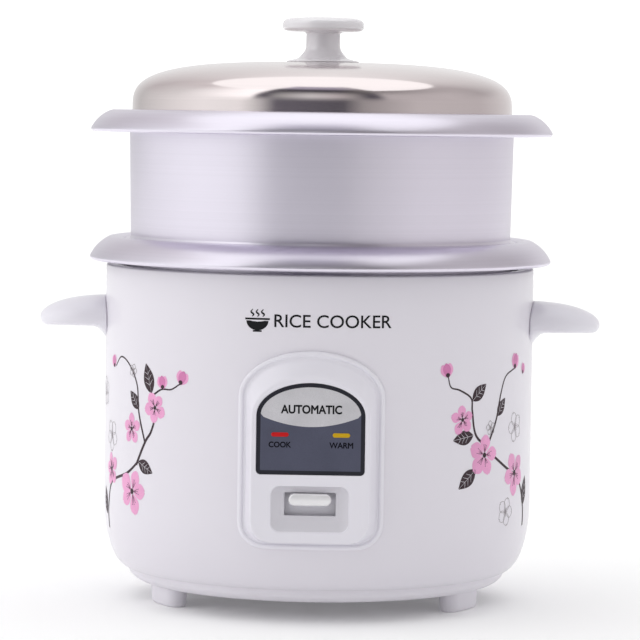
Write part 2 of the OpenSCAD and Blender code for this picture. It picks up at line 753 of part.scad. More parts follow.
// The second pan narrows below a bead that stands on the pot's seat.
module second_pan() color("silver") rotate_extrude() polygon(concat(
  [[0, pan_floor], [0, pan_floor + vessel_t]],
  vessel_corner(pan_low_r - vessel_t, pan_floor + vessel_t, 9),
  [[pan_low_r - vessel_t, pan_bead_z + pan_bead_h], [113.8, pan_crest - seat_drop - 1]],
  rim_top(pan_crest, pan_rim_h),
  rim_under(pan_crest, pan_rim_h),
  [[115, pan_crest - seat_drop - vessel_t], [113.7, pan_bead_z + pan_bead_h + 1]],
  [[114.6, pan_bead_z + pan_bead_h]],
  arc(117.6 - pan_bead_h / 2, pan_bead_z + pan_bead_h / 2, pan_bead_h / 2, 90, -90, 6),
  [[pan_low_r, pan_bead_z]],
  [for (i = [6:-1:0]) vessel_corner(pan_low_r, pan_floor, 10.2)[i]]
));

module lid() color("silver") difference() {
  rotate_extrude() polygon(concat(
    dome(lid_r, lid_h, pan_crest),
    [[lid_r, lid_foot + 1.4]],
    arc(117, lid_foot + 0.9, 0.9, 60, -90, 5),
    [[lid_r - lid_t, lid_foot]],
    [for (i = [20:-1:0]) dome(lid_r - lid_t, lid_h - lid_t, pan_crest)[i]]
  ));
  translate([0, 0, lid_top - 5]) cylinder(r = 2.2, h = 10);
}

module lid_knob() color("whitesmoke") difference() {
  rotate_extrude() polygon(concat(
    [[0, lid_top], [21.6, lid_top], [21.8, lid_top + 0.6]],
    arc(20.6, lid_top + 11, 10.5, 255, 180, 8),
    [[10.3, lid_top + 16.5]],
    [[14, lid_top + 18.3]],
    arc(knob_r - 4, lid_top + 22.6, 4, -70, 75, 8),
    [[10, lid_top + knob_h - 0.1], [0, lid_top + knob_h]]
  ));
  translate([0, 0, lid_top - eps]) cylinder(r = 2, h = 15);
}

module knob_washer() color("silver") difference() {
  translate([0, 0, washer_z]) cylinder(r = 7, h = 1);
  translate([0, 0, lid_top - 5]) cylinder(r = 2.2, h = 10);
}

module knob_screw() color("silver") translate([0, 0, washer_z]) screw_up(1.95, 13, 3.8, 2.4);

outer_shell();
inner_liner();
base_cover();
feet();
base_screws();
foot_screws();
left_handle();
right_handle();
handle_screws();
control_panel();
fascia_plate();
cook_lamp_lens();
warm_lamp_lens();
neon_lamps();
panel_screws();
power_inlet();
inlet_pins();
inlet_screws();
terminal_block();
wiring();
heating_plate();
heating_element();
terminal_bushes();
heater_spacers();
heater_screws();
thermal_fuse();
warm_thermostat();
sensor_base();
sensor_screws();
sensor_cap();
ferrite();
sensor_spring();
magnet();
magnet_rod();
magnet_spring();
lever_bracket();
bracket_screws();
lever_pivot_pin();
lever_arm();
lever_knob();
microswitch();
switch_screws();
switch_leaf();
inner_pot();
second_pan();
lid();
lid_knob();
knob_screw();
knob_washer();
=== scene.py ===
"""Looks of a drum rice cooker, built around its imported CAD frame. Sizes below are millimetres unless said."""

import math
import random

import bmesh
import bpy
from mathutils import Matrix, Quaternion, Vector
from mathutils.geometry import delaunay_2d_cdt


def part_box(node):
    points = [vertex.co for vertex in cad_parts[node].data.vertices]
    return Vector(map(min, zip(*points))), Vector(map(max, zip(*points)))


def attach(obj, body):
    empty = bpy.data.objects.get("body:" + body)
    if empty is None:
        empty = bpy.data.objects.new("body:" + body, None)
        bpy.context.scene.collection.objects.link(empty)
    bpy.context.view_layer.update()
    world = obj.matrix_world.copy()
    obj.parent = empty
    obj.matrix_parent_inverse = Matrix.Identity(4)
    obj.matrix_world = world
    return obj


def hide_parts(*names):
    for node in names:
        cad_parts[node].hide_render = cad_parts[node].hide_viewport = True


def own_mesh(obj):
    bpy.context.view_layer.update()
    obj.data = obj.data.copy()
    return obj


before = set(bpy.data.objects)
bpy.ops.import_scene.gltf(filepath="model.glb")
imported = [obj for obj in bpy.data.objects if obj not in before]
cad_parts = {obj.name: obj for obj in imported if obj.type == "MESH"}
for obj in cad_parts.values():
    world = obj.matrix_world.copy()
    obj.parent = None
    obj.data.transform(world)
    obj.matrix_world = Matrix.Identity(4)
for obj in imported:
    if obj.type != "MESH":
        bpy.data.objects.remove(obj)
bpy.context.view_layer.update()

MM = 0.001
TAU = 2 * math.pi
rng = random.Random(7)


# ---------------------------------------------------------------- places, from the frame

def low(node):
    """Lowest corner of a CAD node, in mm."""
    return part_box(node)[0] / MM


def high(node):
    """Highest corner of a CAD node, in mm."""
    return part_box(node)[1] / MM


DRUM_R = high("outer_shell").x
DRUM_TOP = high("outer_shell").z
SEAM_Z = low("outer_shell").z
SEAM_R = high("base_cover").x
CORNER_H = 40.0
SHEET = 0.8
PANEL_FACE = -low("control_panel").y
PANEL_Z0 = low("control_panel").z
PANEL_Z1 = high("control_panel").z
PANEL_W = 2 * high("control_panel").x
RIM_R = high("inner_pot").x
POT_CREST = high("inner_pot").z
PAN_CREST = high("second_pan").z
POT_RIM_Z = 202.5
PAN_RIM_Z = 278.7
LID_TOP = high("lid").z
KNOB_TOP = high("lid_knob").z


def linked(name, data):
    """A new object in the scene."""
    obj = bpy.data.objects.new(name, data)
    bpy.context.scene.collection.objects.link(obj)
    return obj


# ---------------------------------------------------------------- materials

def new_material(name):
    """A node material, with its node tree, its Principled shader and an object-space coordinate."""
    material = bpy.data.materials.new(name)
    material.use_nodes = True
    tree = material.node_tree
    shader = tree.nodes["Principled BSDF"]
    place = tree.nodes.new("ShaderNodeTexCoord")
    return material, tree, shader, place.outputs["Object"]


def add(tree, kind, inputs=None, **settings):
    """Adds a node, sets its properties, and sets or links its inputs."""
    node = tree.nodes.new(kind)
    for key, value in settings.items():
        setattr(node, key, value)
    for key, value in (inputs or {}).items():
        if isinstance(value, bpy.types.NodeSocket):
            tree.links.new(value, node.inputs[key])
        else:
            node.inputs[key].default_value = value
    return node


def noise(tree, vector, scale, detail, rough=0.5):
    """A 0 to 1 noise factor."""
    return add(tree, "ShaderNodeTexNoise", {
        "Vector": vector, "Scale": scale, "Detail": detail, "Roughness": rough,
    }).outputs["Fac"]


def ramp(tree, factor, stops):
    """A colour ramp with (position, colour) stops."""
    node = add(tree, "ShaderNodeValToRGB", {"Fac": factor})
    while len(node.color_ramp.elements) < len(stops):
        node.color_ramp.elements.new(0.5)
    for element, (position, colour) in zip(node.color_ramp.elements, stops):
        element.position = position
        element.color = (*colour, 1.0)
    return node.outputs["Color"]


def spread(tree, factor, low_value, high_value):
    """Maps a 0 to 1 factor onto a range."""
    return add(tree, "ShaderNodeMapRange", {
        "Value": factor, "To Min": low_value, "To Max": high_value,
    }).outputs["Result"]


def bump(tree, shader, height, strength, distance):
    """Raises the shader's normals by a height factor, over a distance in metres."""
    node = add(tree, "ShaderNodeBump", {"Height": height, "Strength": strength, "Distance": distance})
    tree.links.new(node.outputs["Normal"], shader.inputs["Normal"])


def mottled(name, dark, light, rough, scale, grain, metallic=0.0, coat=0.0, bump_mm=0.02):
    """A surface whose colour drifts between two tones, with uneven gloss and a fine moulded or cast grain."""
    bump_scale = 900
    material, tree, shader, place = new_material(name)
    drift = noise(tree, place, scale, 4.0)
    tree.links.new(ramp(tree, drift, [(0.3, dark), (0.7, light)]), shader.inputs["Base Color"])
    gloss = noise(tree, place, scale * 3.0, 5.0)
    tree.links.new(spread(tree, gloss, rough - grain, rough + grain), shader.inputs["Roughness"])
    shader.inputs["Metallic"].default_value = metallic
    shader.inputs["Coat Weight"].default_value = coat
    shader.inputs["Coat Roughness"].default_value = 0.04
    bump(tree, shader, noise(tree, place, bump_scale, 2.0), 0.25, bump_mm * MM)
    return material


def spun_metal(name, tone, rough, line_strength, brushed=0.0):
    """Metal turned on a lathe: fine rings around Z, faint drag marks and slow tone changes."""
    material, tree, shader, place = new_material(name)
    parts = add(tree, "ShaderNodeSeparateXYZ", {"Vector": place})
    flat = add(tree, "ShaderNodeCombineXYZ", {"X": parts.outputs["X"], "Y": parts.outputs["Y"]})
    radius = add(tree, "ShaderNodeVectorMath", {0: flat.outputs["Vector"]}, operation="LENGTH")
    across = add(tree, "ShaderNodeCombineXYZ", {"X": radius.outputs["Value"], "Z": parts.outputs["Z"]})
    lines = noise(tree, across.outputs["Vector"], 2600.0, 2.0, 0.7)
    bands = noise(tree, across.outputs["Vector"], 700.0, 3.0)
    clouds = noise(tree, place, 14.0, 4.0)
    dark = tuple(t * 0.96 for t in tone)
    light = tuple(min(1.0, t * 1.02) for t in tone)
    total = add(tree, "ShaderNodeMath", {0: lines, 1: bands}, operation="ADD")
    total = add(tree, "ShaderNodeMath", {0: total.outputs[0], 1: clouds}, operation="ADD")
    third = add(tree, "ShaderNodeMath", {0: total.outputs[0], 1: 1 / 3}, operation="MULTIPLY")
    colour = ramp(tree, third.outputs[0], [(0.35, dark), (0.65, light)])
    tree.links.new(colour, shader.inputs["Base Color"])
    tree.links.new(spread(tree, bands, rough * 0.94, rough * 1.06), shader.inputs["Roughness"])
    shader.inputs["Metallic"].default_value = 1.0
    shader.inputs["Anisotropic"].default_value = brushed
    shader.inputs["Anisotropic Rotation"].default_value = 0.25
    around = add(tree, "ShaderNodeTangent", direction_type="RADIAL", axis="Z")
    tree.links.new(around.outputs["Tangent"], shader.inputs["Tangent"])
    bump(tree, shader, lines, line_strength, 0.02 * MM)
    return material


def glow(name, colour, strength):
    """A translucent moulded lens with faint internal ribs and a little light of its own."""
    material, tree, shader, place = new_material(name)
    ribs = add(tree, "ShaderNodeTexWave", {"Vector": place, "Scale": 700.0, "Distortion": 0.4})
    edge = add(tree, "ShaderNodeLayerWeight", {"Blend": 0.3}).outputs["Facing"]
    both = add(tree, "ShaderNodeMath", {0: ribs.outputs["Fac"], 1: edge}, operation="MULTIPLY")
    deep = tuple(c * 0.55 for c in colour)
    tint = ramp(tree, both.outputs[0], [(0.0, colour), (1.0, deep)])
    tree.links.new(tint, shader.inputs["Base Color"])
    shader.inputs["Roughness"].default_value = 0.3
    shader.inputs["Specular IOR Level"].default_value = 0.2
    shader.inputs["Emission Color"].default_value = (*colour, 1.0)
    shader.inputs["Emission Strength"].default_value = strength
    return material


def printed(name, tone, rough, sheen):
    """Ink on a glossy surface: a slight screen grain in tone and gloss."""
    material, tree, shader, place = new_material(name)
    grain = noise(tree, place, 2200.0, 2.0)
    patch = noise(tree, place, 60.0, 3.0)
    both = add(tree, "ShaderNodeMath", {0: grain, 1: patch}, operation="MULTIPLY")
    dark = tuple(c * 0.88 for c in tone)
    light = tuple(min(1.0, c * 1.1) for c in tone)
    tree.links.new(ramp(tree, both.outputs[0], [(0.1, dark), (0.45, light)]), shader.inputs["Base Color"])
    tree.links.new(spread(tree, grain, rough - 0.06, rough + 0.06), shader.inputs["Roughness"])
    shader.inputs["Specular IOR Level"].default_value = sheen
    return material


def enamel():
    """Glossy baked enamel on sheet metal: a clear coat over a slightly uneven lavender white."""
    material, tree, shader, place = new_material("drum_enamel")
    drift = noise(tree, place, 9.0, 3.0)
    tone = ramp(tree, drift, [(0.3, (0.735, 0.708, 0.768)), (0.7, (0.750, 0.723, 0.783))])
    tree.links.new(tone, shader.inputs["Base Color"])
    peel = noise(tree, place, 420.0, 2.0)
    wear = noise(tree, place, 55.0, 5.0)
    tree.links.new(spread(tree, wear, 0.28, 0.34), shader.inputs["Roughness"])
    shader.inputs["Coat Weight"].default_value = 0.3
    shader.inputs["Coat Roughness"].default_value = 0.06
    bump(tree, shader, peel, 0.12, 0.03 * MM)
    return material


MATERIALS = {
    "enamel": enamel(),
    "vessel": spun_metal("spun_aluminium", (0.80, 0.765, 0.86), 0.32, 0.12, 0.3),
    "lid": spun_metal("polished_steel", (0.80, 0.73, 0.73), 0.13, 0.05, 0.5),
    "liner": spun_metal("liner_aluminium", (0.66, 0.66, 0.68), 0.38, 0.4),
    "white": mottled("white_plastic", (0.776, 0.757, 0.820), (0.784, 0.765, 0.828), 0.33, 12.0, 0.01,
                     0.0, 0.15),
    # The recess tone is the white plastic darkened into painted shade, standing for the shade inside the
    # lever's dish.
    "recess": mottled("recess_painted_shade", (0.640, 0.622, 0.672), (0.655, 0.637, 0.687), 0.42, 12.0, 0.01),
    "base_white": mottled("base_plastic", (0.74, 0.715, 0.77), (0.77, 0.745, 0.80), 0.4, 12.0, 0.03),
    "pearl": mottled("pearl_plastic", (0.80, 0.78, 0.81), (0.84, 0.82, 0.85), 0.22, 30.0, 0.03, 0.1, 0.5),
    "silver": mottled("silver_paint", (0.76, 0.755, 0.77), (0.83, 0.82, 0.84), 0.26, 40.0, 0.04, 0.3, 0.4),
    "dark": mottled("dark_plastic", (0.018, 0.018, 0.02), (0.03, 0.03, 0.034), 0.5, 30.0, 0.1),
    "zinc": mottled("zinc_steel", (0.46, 0.46, 0.45), (0.62, 0.61, 0.58), 0.36, 60.0, 0.08, 1.0),
    "cast": mottled("cast_aluminium", (0.40, 0.40, 0.41), (0.55, 0.55, 0.56), 0.5, 40.0, 0.1, 1.0, 0.0, 0.1),
    "brass": mottled("brass_contact", (0.60, 0.42, 0.16), (0.74, 0.55, 0.25), 0.3, 60.0, 0.08, 1.0),
    "ceramic": mottled("ceramic_body", (0.66, 0.63, 0.56), (0.76, 0.73, 0.66), 0.6, 60.0, 0.1),
    "wire": mottled("wire_sleeve", (0.32, 0.02, 0.015), (0.42, 0.03, 0.025), 0.55, 90.0, 0.1),
    "magnet": mottled("magnet_ferrite", (0.02, 0.02, 0.022), (0.05, 0.05, 0.055), 0.55, 90.0, 0.1),
    "neon": mottled("neon_glass", (0.75, 0.52, 0.36), (0.85, 0.66, 0.5), 0.12, 90.0, 0.03, 0.0, 0.8),
    "red": glow("red_lens", (0.50, 0.006, 0.008), 0.03),
    "amber": glow("amber_lens", (0.54, 0.33, 0.006), 0.03),
    "fascia_border": printed("fascia_border", (0.016, 0.016, 0.024), 0.3, 0.22),
    "fascia_light": printed("fascia_light", (0.56, 0.55, 0.58), 0.3, 0.3),
    "fascia_slate": printed("fascia_slate", (0.076, 0.080, 0.122), 0.3, 0.25),
    "ink": printed("black_ink", (0.012, 0.012, 0.014), 0.5, 0.1),
    "label_ink": printed("label_ink", (0.004, 0.004, 0.008), 0.5, 0.05),
    "petal": printed("petal_ink", (0.80, 0.36, 0.60), 0.4, 0.3),
    "petal_deep": printed("petal_deep_ink", (0.62, 0.20, 0.42), 0.4, 0.3),
    "twig": printed("twig_ink", (0.050, 0.032, 0.040), 0.45, 0.15),
    "vein": printed("vein_ink", (0.62, 0.59, 0.64), 0.4, 0.3),
    "outline": printed("outline_ink", (0.32, 0.29, 0.31), 0.4, 0.3),
}


# ---------------------------------------------------------------- mesh building

def arc(cx, cy, r, a, b, n):
    """Points of an arc from angle a to angle b in degrees."""
    return [(cx + r * math.cos(math.radians(a + (b - a) * i / n)),
             cy + r * math.sin(math.radians(a + (b - a) * i / n))) for i in range(n + 1)]


def rounded_path(points, steps):
    """A polyline through (x, y, radius) points, with each inner corner turned into an arc of its radius."""
    out = [Vector(points[0][:2])]
    for before, here, after in zip(points, points[1:], points[2:]):
        p, a, b = Vector(here[:2]), Vector(before[:2]), Vector(after[:2])
        da, db = (a - p).normalized(), (b - p).normalized()
        half = da.angle(db) / 2
        radius = here[2]
        if radius <= 0 or half > math.radians(89):
            out.append(p)
            continue
        reach = min(radius / math.tan(half), (a - p).length * 0.48, (b - p).length * 0.48)
        start, end = p + da * reach, p + db * reach
        for i in range(steps + 1):
            t = i / steps
            out.append((1 - t) ** 2 * start + 2 * t * (1 - t) * p + t * t * end)
    out.append(Vector(points[-1][:2]))
    return [tuple(v) for v in out]


def bulged(a, b, rise, n):
    """Points from a to b, pushed to the left of the way by the given rise at the middle."""
    a, b = Vector(a), Vector(b)
    left = Vector((a.y - b.y, b.x - a.x)).normalized()
    return [tuple(a.lerp(b, i / n) + left * 4 * rise * i / n * (1 - i / n)) for i in range(n + 1)]


def subdivided(path, longest):
    """The same path with no step longer than the given length."""
    out = [path[0]]
    for a, b in zip(path, path[1:]):
        n = max(1, math.ceil(math.dist(a, b) / longest))
        out += [tuple(p + (q - p) * i / n for p, q in zip(a, b)) for i in range(1, n + 1)]
    return out


class Shape:
    """Collects rings of points and the faces between them, and turns them into one object."""

    def __init__(self):
        self.points = []
        self.faces = []
        self.slots = []

    def ring(self, points):
        """Adds points, and returns their indices."""
        first = len(self.points)
        self.points += [tuple(p) for p in points]
        return list(range(first, len(self.points)))

    def upright(self, outline, y):
        """A ring of an outline's (x, z) points, all at the depth y."""
        return self.ring([(x, y, z) for x, z in outline])

    def band(self, a, b, slot=0, closed=True):
        """Four-sided faces between two rings of equal length."""
        n = len(a)
        for i in range(n if closed else n - 1):
            j = (i + 1) % n
            self.faces.append((a[i], a[j], b[j], b[i]))
            self.slots.append(slot)

    def skin(self, rings):
        """Bands from each ring to the next."""
        for a, b in zip(rings, rings[1:]):
            self.band(a, b)

    def fan(self, ring, centre):
        """Triangles from a ring to one point."""
        tip = self.ring([centre])[0]
        for i, a in enumerate(ring):
            self.faces.append((a, ring[(i + 1) % len(ring)], tip))
            self.slots.append(0)

    def cap(self, ring):
        """One face across a ring."""
        self.faces.append(tuple(ring))
        self.slots.append(0)

    def fill(self, outer, holes=(), slot=0, flat=lambda p: (p[0], p[2])):
        """Triangulates the flat area inside the outer ring and outside the holes."""
        rings = [outer, *holes]
        index = [i for ring in rings for i in ring]
        places = [Vector(flat(self.points[i])) for i in index]
        edges = []
        start = 0
        for ring in rings:
            n = len(ring)
            edges += [(start + i, start + (i + 1) % n) for i in range(n)]
            start += n
        out = delaunay_2d_cdt(places, edges, [], 1, 1e-6)
        outlines = [[Vector(flat(self.points[i])) for i in ring] for ring in rings]
        for face in out[2]:
            middle = sum((out[0][i] for i in face), Vector((0, 0))) / len(face)
            if not within(middle, outlines[0]) or any(within(middle, o) for o in outlines[1:]):
                continue
            self.faces.append(tuple(index[out[3][i][0]] for i in face))
            self.slots.append(slot)

    def bare(self, name, materials=()):
        """The collected faces as an object that rides on nothing yet."""
        mesh = bpy.data.meshes.new(name)
        mesh.from_pydata([[c * MM for c in p] for p in self.points], [], self.faces)
        for material in materials:
            mesh.materials.append(MATERIALS[material])
        for polygon, index in zip(mesh.polygons, self.slots):
            polygon.material_index = index
        work = bmesh.new()
        work.from_mesh(mesh)
        bmesh.ops.remove_doubles(work, verts=work.verts, dist=1e-7)
        bmesh.ops.recalc_face_normals(work, faces=work.faces)
        work.to_mesh(mesh)
        work.free()
        return linked(name, mesh)

    def build(self, name, materials, body, replaces, slot, sharp, thickness=0.0):
        """The finished piece, with edges sharper than the angle kept and any thickness added outwards."""
        obj = self.bare(name, materials)
        if thickness:
            skin = obj.modifiers.new("thickness", "SOLIDIFY")
            skin.thickness = thickness * MM
            skin.offset = 1.0
            apply_modifiers(obj)
        smooth(obj, sharp)
        return place(obj, body, replaces, slot)


def within(p, loop):
    """Is point p inside the closed loop?"""
    hit = False
    for a, b in zip(loop, loop[1:] + loop[:1]):
        if (a.y > p.y) != (b.y > p.y) and p.x < (b.x - a.x) * (p.y - a.y) / (b.y - a.y) + a.x:
            hit = not hit
    return hit


def apply_modifiers(obj):
    """Bakes an object's modifiers into its mesh."""
    graph = bpy.context.evaluated_depsgraph_get()
    mesh = bpy.data.meshes.new_from_object(obj.evaluated_get(graph))
    obj.modifiers.clear()
    obj.data = mesh


def smooth(obj, sharp):
    """Smooth shading with edges sharper than the angle kept."""
    obj.data.shade_smooth()
    obj.data.set_sharp_from_angle(angle=math.radians(sharp))


def place(obj, body, replaces, slot=None):
    """Puts a piece on its body, in the place of CAD nodes. The slot is not used."""
    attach(obj, body)
    if replaces:
        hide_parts(*replaces)
    return obj


def circle(r, z, n):
    """A ring of n points around the object's axis."""
    return [(r * math.cos(TAU * i / n), r * math.sin(TAU * i / n), z) for i in range(n)]


def lathe(section, n, closed=False):
    """A solid of revolution. An open section starts and ends on the axis; a closed one is a ring."""
    shape = Shape()
    rings = [shape.ring(circle(r, z, n)) if r > 1e-6 else None for r, z in section]
    pairs = list(zip(rings, rings[1:])) + ([(rings[-1], rings[0])] if closed else [])
    for a, b in pairs:
        if a and b:
            shape.band(a, b)
    if not closed:
        shape.fan(rings[1], (0, 0, section[0][1]))
        shape.fan(rings[-2], (0, 0, section[-1][1]))
    return shape


def cut(obj, *cutters):
    """Takes each cutter out of obj, and removes the cutters."""
    for cutter in cutters:
        hole = obj.modifiers.new("cut", "BOOLEAN")
        hole.object = cutter
        hole.operation = "DIFFERENCE"
        hole.solver = "EXACT"
    apply_modifiers(obj)
    for cutter in cutters:
        bpy.data.objects.remove(cutter)


def block(name, a, b):
    """A plain box between two corners, used only to cut with."""
    shape = Shape()
    rings = []
    for z in (a[2], b[2]):
        rings.append(shape.ring([(a[0], a[1], z), (b[0], a[1], z), (b[0], b[1], z), (a[0], b[1], z)]))
    shape.skin(rings)
    shape.cap(rings[0])
    shape.cap(rings[1])
    return shape.bare(name)


# ---------------------------------------------------------------- drum

def drum_radius(z):
    """Radius of the drum's outside at height z."""
    if z >= SEAM_Z + CORNER_H:
        return DRUM_R
    rise = (SEAM_Z + CORNER_H - z) / CORNER_H
    return SEAM_R + (DRUM_R - SEAM_R) * math.sqrt(max(0.0, 1 - rise * rise))


def drum_y(x, z):
    """Y of the drum's front surface at x and z."""
    r = drum_radius(z)
    return -math.sqrt(max(r * r - x * x, 0.0))


def outer_shell():
    """The painted drum: rounded foot, straight wall, rolled top edge, and its three openings."""
    underside_r, lip_r, lip_roll = 94.0, 121.3, 0.4
    edge_roll, inner_roll = 1.2, 1.6
    corner = [(SEAM_R + (DRUM_R - SEAM_R) * math.sin(math.radians(t)),
               SEAM_Z + CORNER_H * (1 - math.cos(math.radians(t)))) for t in range(0, 91, 3)]
    wall = subdivided([(DRUM_R, SEAM_Z + CORNER_H), (DRUM_R, DRUM_TOP - edge_roll)], 4.0)
    top = arc(DRUM_R - edge_roll, DRUM_TOP - edge_roll, edge_roll, 0, 90, 8)
    lip = arc(lip_r, DRUM_TOP - lip_roll, lip_roll, 90, 270, 4)
    outside = [(underside_r, SEAM_Z)] + corner + wall[1:] + top[1:] + lip
    inner_top = arc(DRUM_R - SHEET - inner_roll, DRUM_TOP - SHEET - inner_roll, inner_roll, 90, 0, 5)
    inner_corner = [(r - SHEET, z + SHEET * (SEAM_Z + CORNER_H - z) / CORNER_H)
                    for r, z in reversed(corner[::2])]
    inside = inner_top + subdivided([inner_top[-1], inner_corner[0]], 8.0)[1:-1] + inner_corner
    shape = lathe(outside + inside + [(underside_r, SEAM_Z + SHEET)], 256, closed=True)
    shell = shape.build("drum_shell", ["enamel"], "housing", ["outer_shell"], "drum_enamel", 35.0)
    cut(shell,
        block("cut_lever", (-18, -140, 56), (18, -100, 87)),
        block("cut_lamps", (-24, -140, 103), (24, -100, 119)),
        block("cut_inlet", (-16, 100, 34), (16, 140, 58)))
    smooth(shell, 35.0)


# ---------------------------------------------------------------- vessels and lid

def rim_section(z, h):
    """Outline of a vessel's rim from its lid seat over the crest to the rolled edge and back under."""
    roll = 1.75
    over = rounded_path([
        (113.9, z - 4.0, 0), (118.5, z - 4.0, 0.5), (118.7, z - 1.4, 2.0), (121.8, z - 0.05, 2.5),
        (124.6, z, 0),
    ], 7)
    slope = bulged((126.6, z - 0.4), (RIM_R - 0.15, z - h + 2.5), 1.35, 12)
    edge = arc(RIM_R - roll, z - h + roll, roll, 18, -150, 14)
    inside = bulged((RIM_R - 2.9, z - h + 1.6), (125.9, z - 1.5), -1.35, 8)
    under = rounded_path([
        (124.4, z - 1.3, 0), (121.9, z - 1.25, 1.6), (119.8, z - 2.2, 1.0), (119.7, z - 5.2, 0.9),
    ], 5)
    return over + slope + edge + inside + under


def inner_pot():
    """The cooking pot, which hangs by its rim on the drum."""
    z = POT_CREST
    floor = low("inner_pot").z
    inside = rounded_path([(0.0, floor + 1.2, 0), (114.0, floor + 1.2, 16.0), (114.0, z - 5.0, 0)], 12)
    outside = rounded_path([(115.2, z - 5.2, 0), (115.2, floor, 17.0), (0.0, floor, 0)], 12)
    section = subdivided(inside, 12.0) + rim_section(z, z - POT_RIM_Z) + subdivided(outside, 12.0)
    lathe(section, 224).build("cooking_pot", ["vessel"], "cooking_pot", ["inner_pot"], "vessel_metal", 50.0)


def second_pan():
    """The pan that stands in the pot on its bead."""
    z = PAN_CREST
    floor = low("second_pan").z
    bead = 212.7
    inside = rounded_path([
        (0.0, floor + 1.2, 0), (111.4, floor + 1.2, 12.0), (111.4, bead + 1.5, 1.0), (112.6, bead + 4.2, 1.0),
        (113.8, z - 5.0, 0),
    ], 8)
    outside = rounded_path([
        (115.0, z - 5.2, 0), (113.7, bead + 4.6, 0.8), (114.3, bead + 3.0, 0.5), (116.9, bead + 3.0, 1.2),
        (116.9, bead + 0.05, 1.2), (112.7, bead + 0.1, 0.6), (112.6, floor, 13.0), (0.0, floor, 0),
    ], 8)
    section = subdivided(inside, 12.0) + rim_section(z, z - PAN_RIM_Z) + subdivided(outside, 12.0)
    lathe(section, 224).build("standing_pan", ["vessel"], "stacked_pan", ["second_pan"], "vessel_metal", 50.0)


def dome(r, h, z, steps=44):
    """Dome outline from the axis out to its straight wall, as a flattened superellipse."""
    out = []
    for i in range(steps + 1):
        t = math.pi / 2 * i / steps
        out.append((r * math.sin(t) ** (2 / 3.1), z + h * max(math.cos(t), 0.0) ** (2 / 3.4)))
    return out


def lid():
    """The domed lid with its step onto the pan's seat and the hole for the knob's screw."""
    z = PAN_CREST
    foot = low("lid").z
    h = LID_TOP - z
    top = dome(113.6, h, z)
    top[0] = (0.0, LID_TOP)
    under = dome(112.8, h - 0.8, z)
    rim = rounded_path([
        (113.6, z - 0.6, 0), (113.6, foot + 1.7, 0.8), (117.2, foot + 1.7, 0.8), (117.8, foot, 0.9),
        (112.9, foot, 0.5), (112.8, foot + 1.8, 0),
    ], 5)
    section = subdivided(top, 7.0)[1:] + rim + list(reversed(subdivided(under, 12.0)))[:-1]
    hole = 2.2
    section = [(hole, LID_TOP)] + [p for p in section if p[0] > hole] + [(hole, LID_TOP - 0.8)]
    lathe(section, 224, closed=True).build("lid_dome", ["lid"], "lid_assembly", ["lid"], "lid_steel", 50.0)


def lid_knob():
    """The mushroom knob on its small foot disc."""
    z = LID_TOP
    r = high("lid_knob").x
    section = rounded_path([
        (0.0, z + 0.05, 0), (21.4, z + 0.05, 0.2), (21.7, z + 0.65, 0.3), (14.6, z + 2.4, 5.0),
        (10.3, z + 7.6, 6.0), (10.1, z + 17.4, 1.2), (12.4, z + 18.2, 1.2), (20.5, z + 18.3, 2.0),
        (r, z + 19.2, 3.2), (r, z + 25.0, 3.8), (19.0, KNOB_TOP - 0.55, 4.0), (8.0, KNOB_TOP - 0.02, 4.0),
        (0.0, KNOB_TOP, 0),
    ], 8)
    lathe(section, 96).build("knob", ["pearl"], "lid_assembly", ["lid_knob"], "pearl_plastic", 60.0)


# ---------------------------------------------------------------- outlines on the front

def arch_outline(half, z0, z1, rise, corner, inset=0.0):
    """An upright outline with an arched top, with the same point count whatever its size."""
    w, bottom, top = half - inset, z0 + inset, z1 - inset
    c = max(corner - inset, 0.3)
    spring = z1 - rise
    left = arc(-w + c, bottom + c, c, 180, 270, 10)
    right = arc(w - c, bottom + c, c, 270, 360, 10)
    base = subdivided([left[-1], right[0]], (2 * w - 2 * c) / 9.99)[1:-1]
    side = [(w, bottom + c + (spring - bottom - c) * i / 12) for i in range(1, 12)]
    crown = [(w * math.cos(math.radians(t)), spring + (top - spring) * math.sin(math.radians(t)))
             for t in range(0, 181, 4)]
    back = [(-w, z) for _, z in reversed(side)]
    return left + base + right + side + crown + back


def rounded_box(w, h, corner, cx, cz, steps=8, side=6):
    """Outline of a rectangle with rounded corners, with the same point count whatever its size."""
    out = []
    for sx, sz, a in ((1, 1, 0), (-1, 1, 90), (-1, -1, 180), (1, -1, 270)):
        out.append(arc(cx + sx * (w / 2 - corner), cz + sz * (h / 2 - corner), corner, a, a + 90, steps))
    ring = []
    for here, after in zip(out, out[1:] + out[:1]):
        ring += here
        a, b = here[-1], after[0]
        ring += [(a[0] + (b[0] - a[0]) * i / side, a[1] + (b[1] - a[1]) * i / side) for i in range(1, side)]
    return ring


def eased(t, w):
    """A straight climb from 0 to 1 with both ends rounded over a share w."""
    if t < w:
        return t * t / (2 * w) / (1 - w)
    if t > 1 - w:
        return 1 - (1 - t) ** 2 / (2 * w) / (1 - w)
    return (t - w / 2) / (1 - w)


def blend_rings(a, b, t):
    """The outline a share t of the way from a to b."""
    return [(p[0] + (q[0] - p[0]) * t, p[1] + (q[1] - p[1]) * t) for p, q in zip(a, b)]


# half width, bottom, top, rise of the arch, corner radius
PANEL_SPAN = (PANEL_W / 2, PANEL_Z0, PANEL_Z1, 26.5, 15.0)
FACE_SPAN = (33.2, 49.2, 142.5, 23.5, 12.0)
FASCIA_SPAN = (30.6, low("fascia_plate").z, high("fascia_plate").z, 18.6, 2.5)
# middles, as x and z
RECESS_AT = (0.0, 68.3)
WINDOW_AT = (0.0, 71.0)
# how far the recess's floor is from the axis, the lip's width, and how proud of the drum it ends
RECESS_FLOOR = 130.3
LIP = 4.0
LIP_PROUD = 0.95


def against_drum(shape, outline, proud):
    """A ring of an outline's (x, z) points, held proud of the drum."""
    return shape.ring([(x, drum_y(x, z) - proud, z) for x, z in outline])


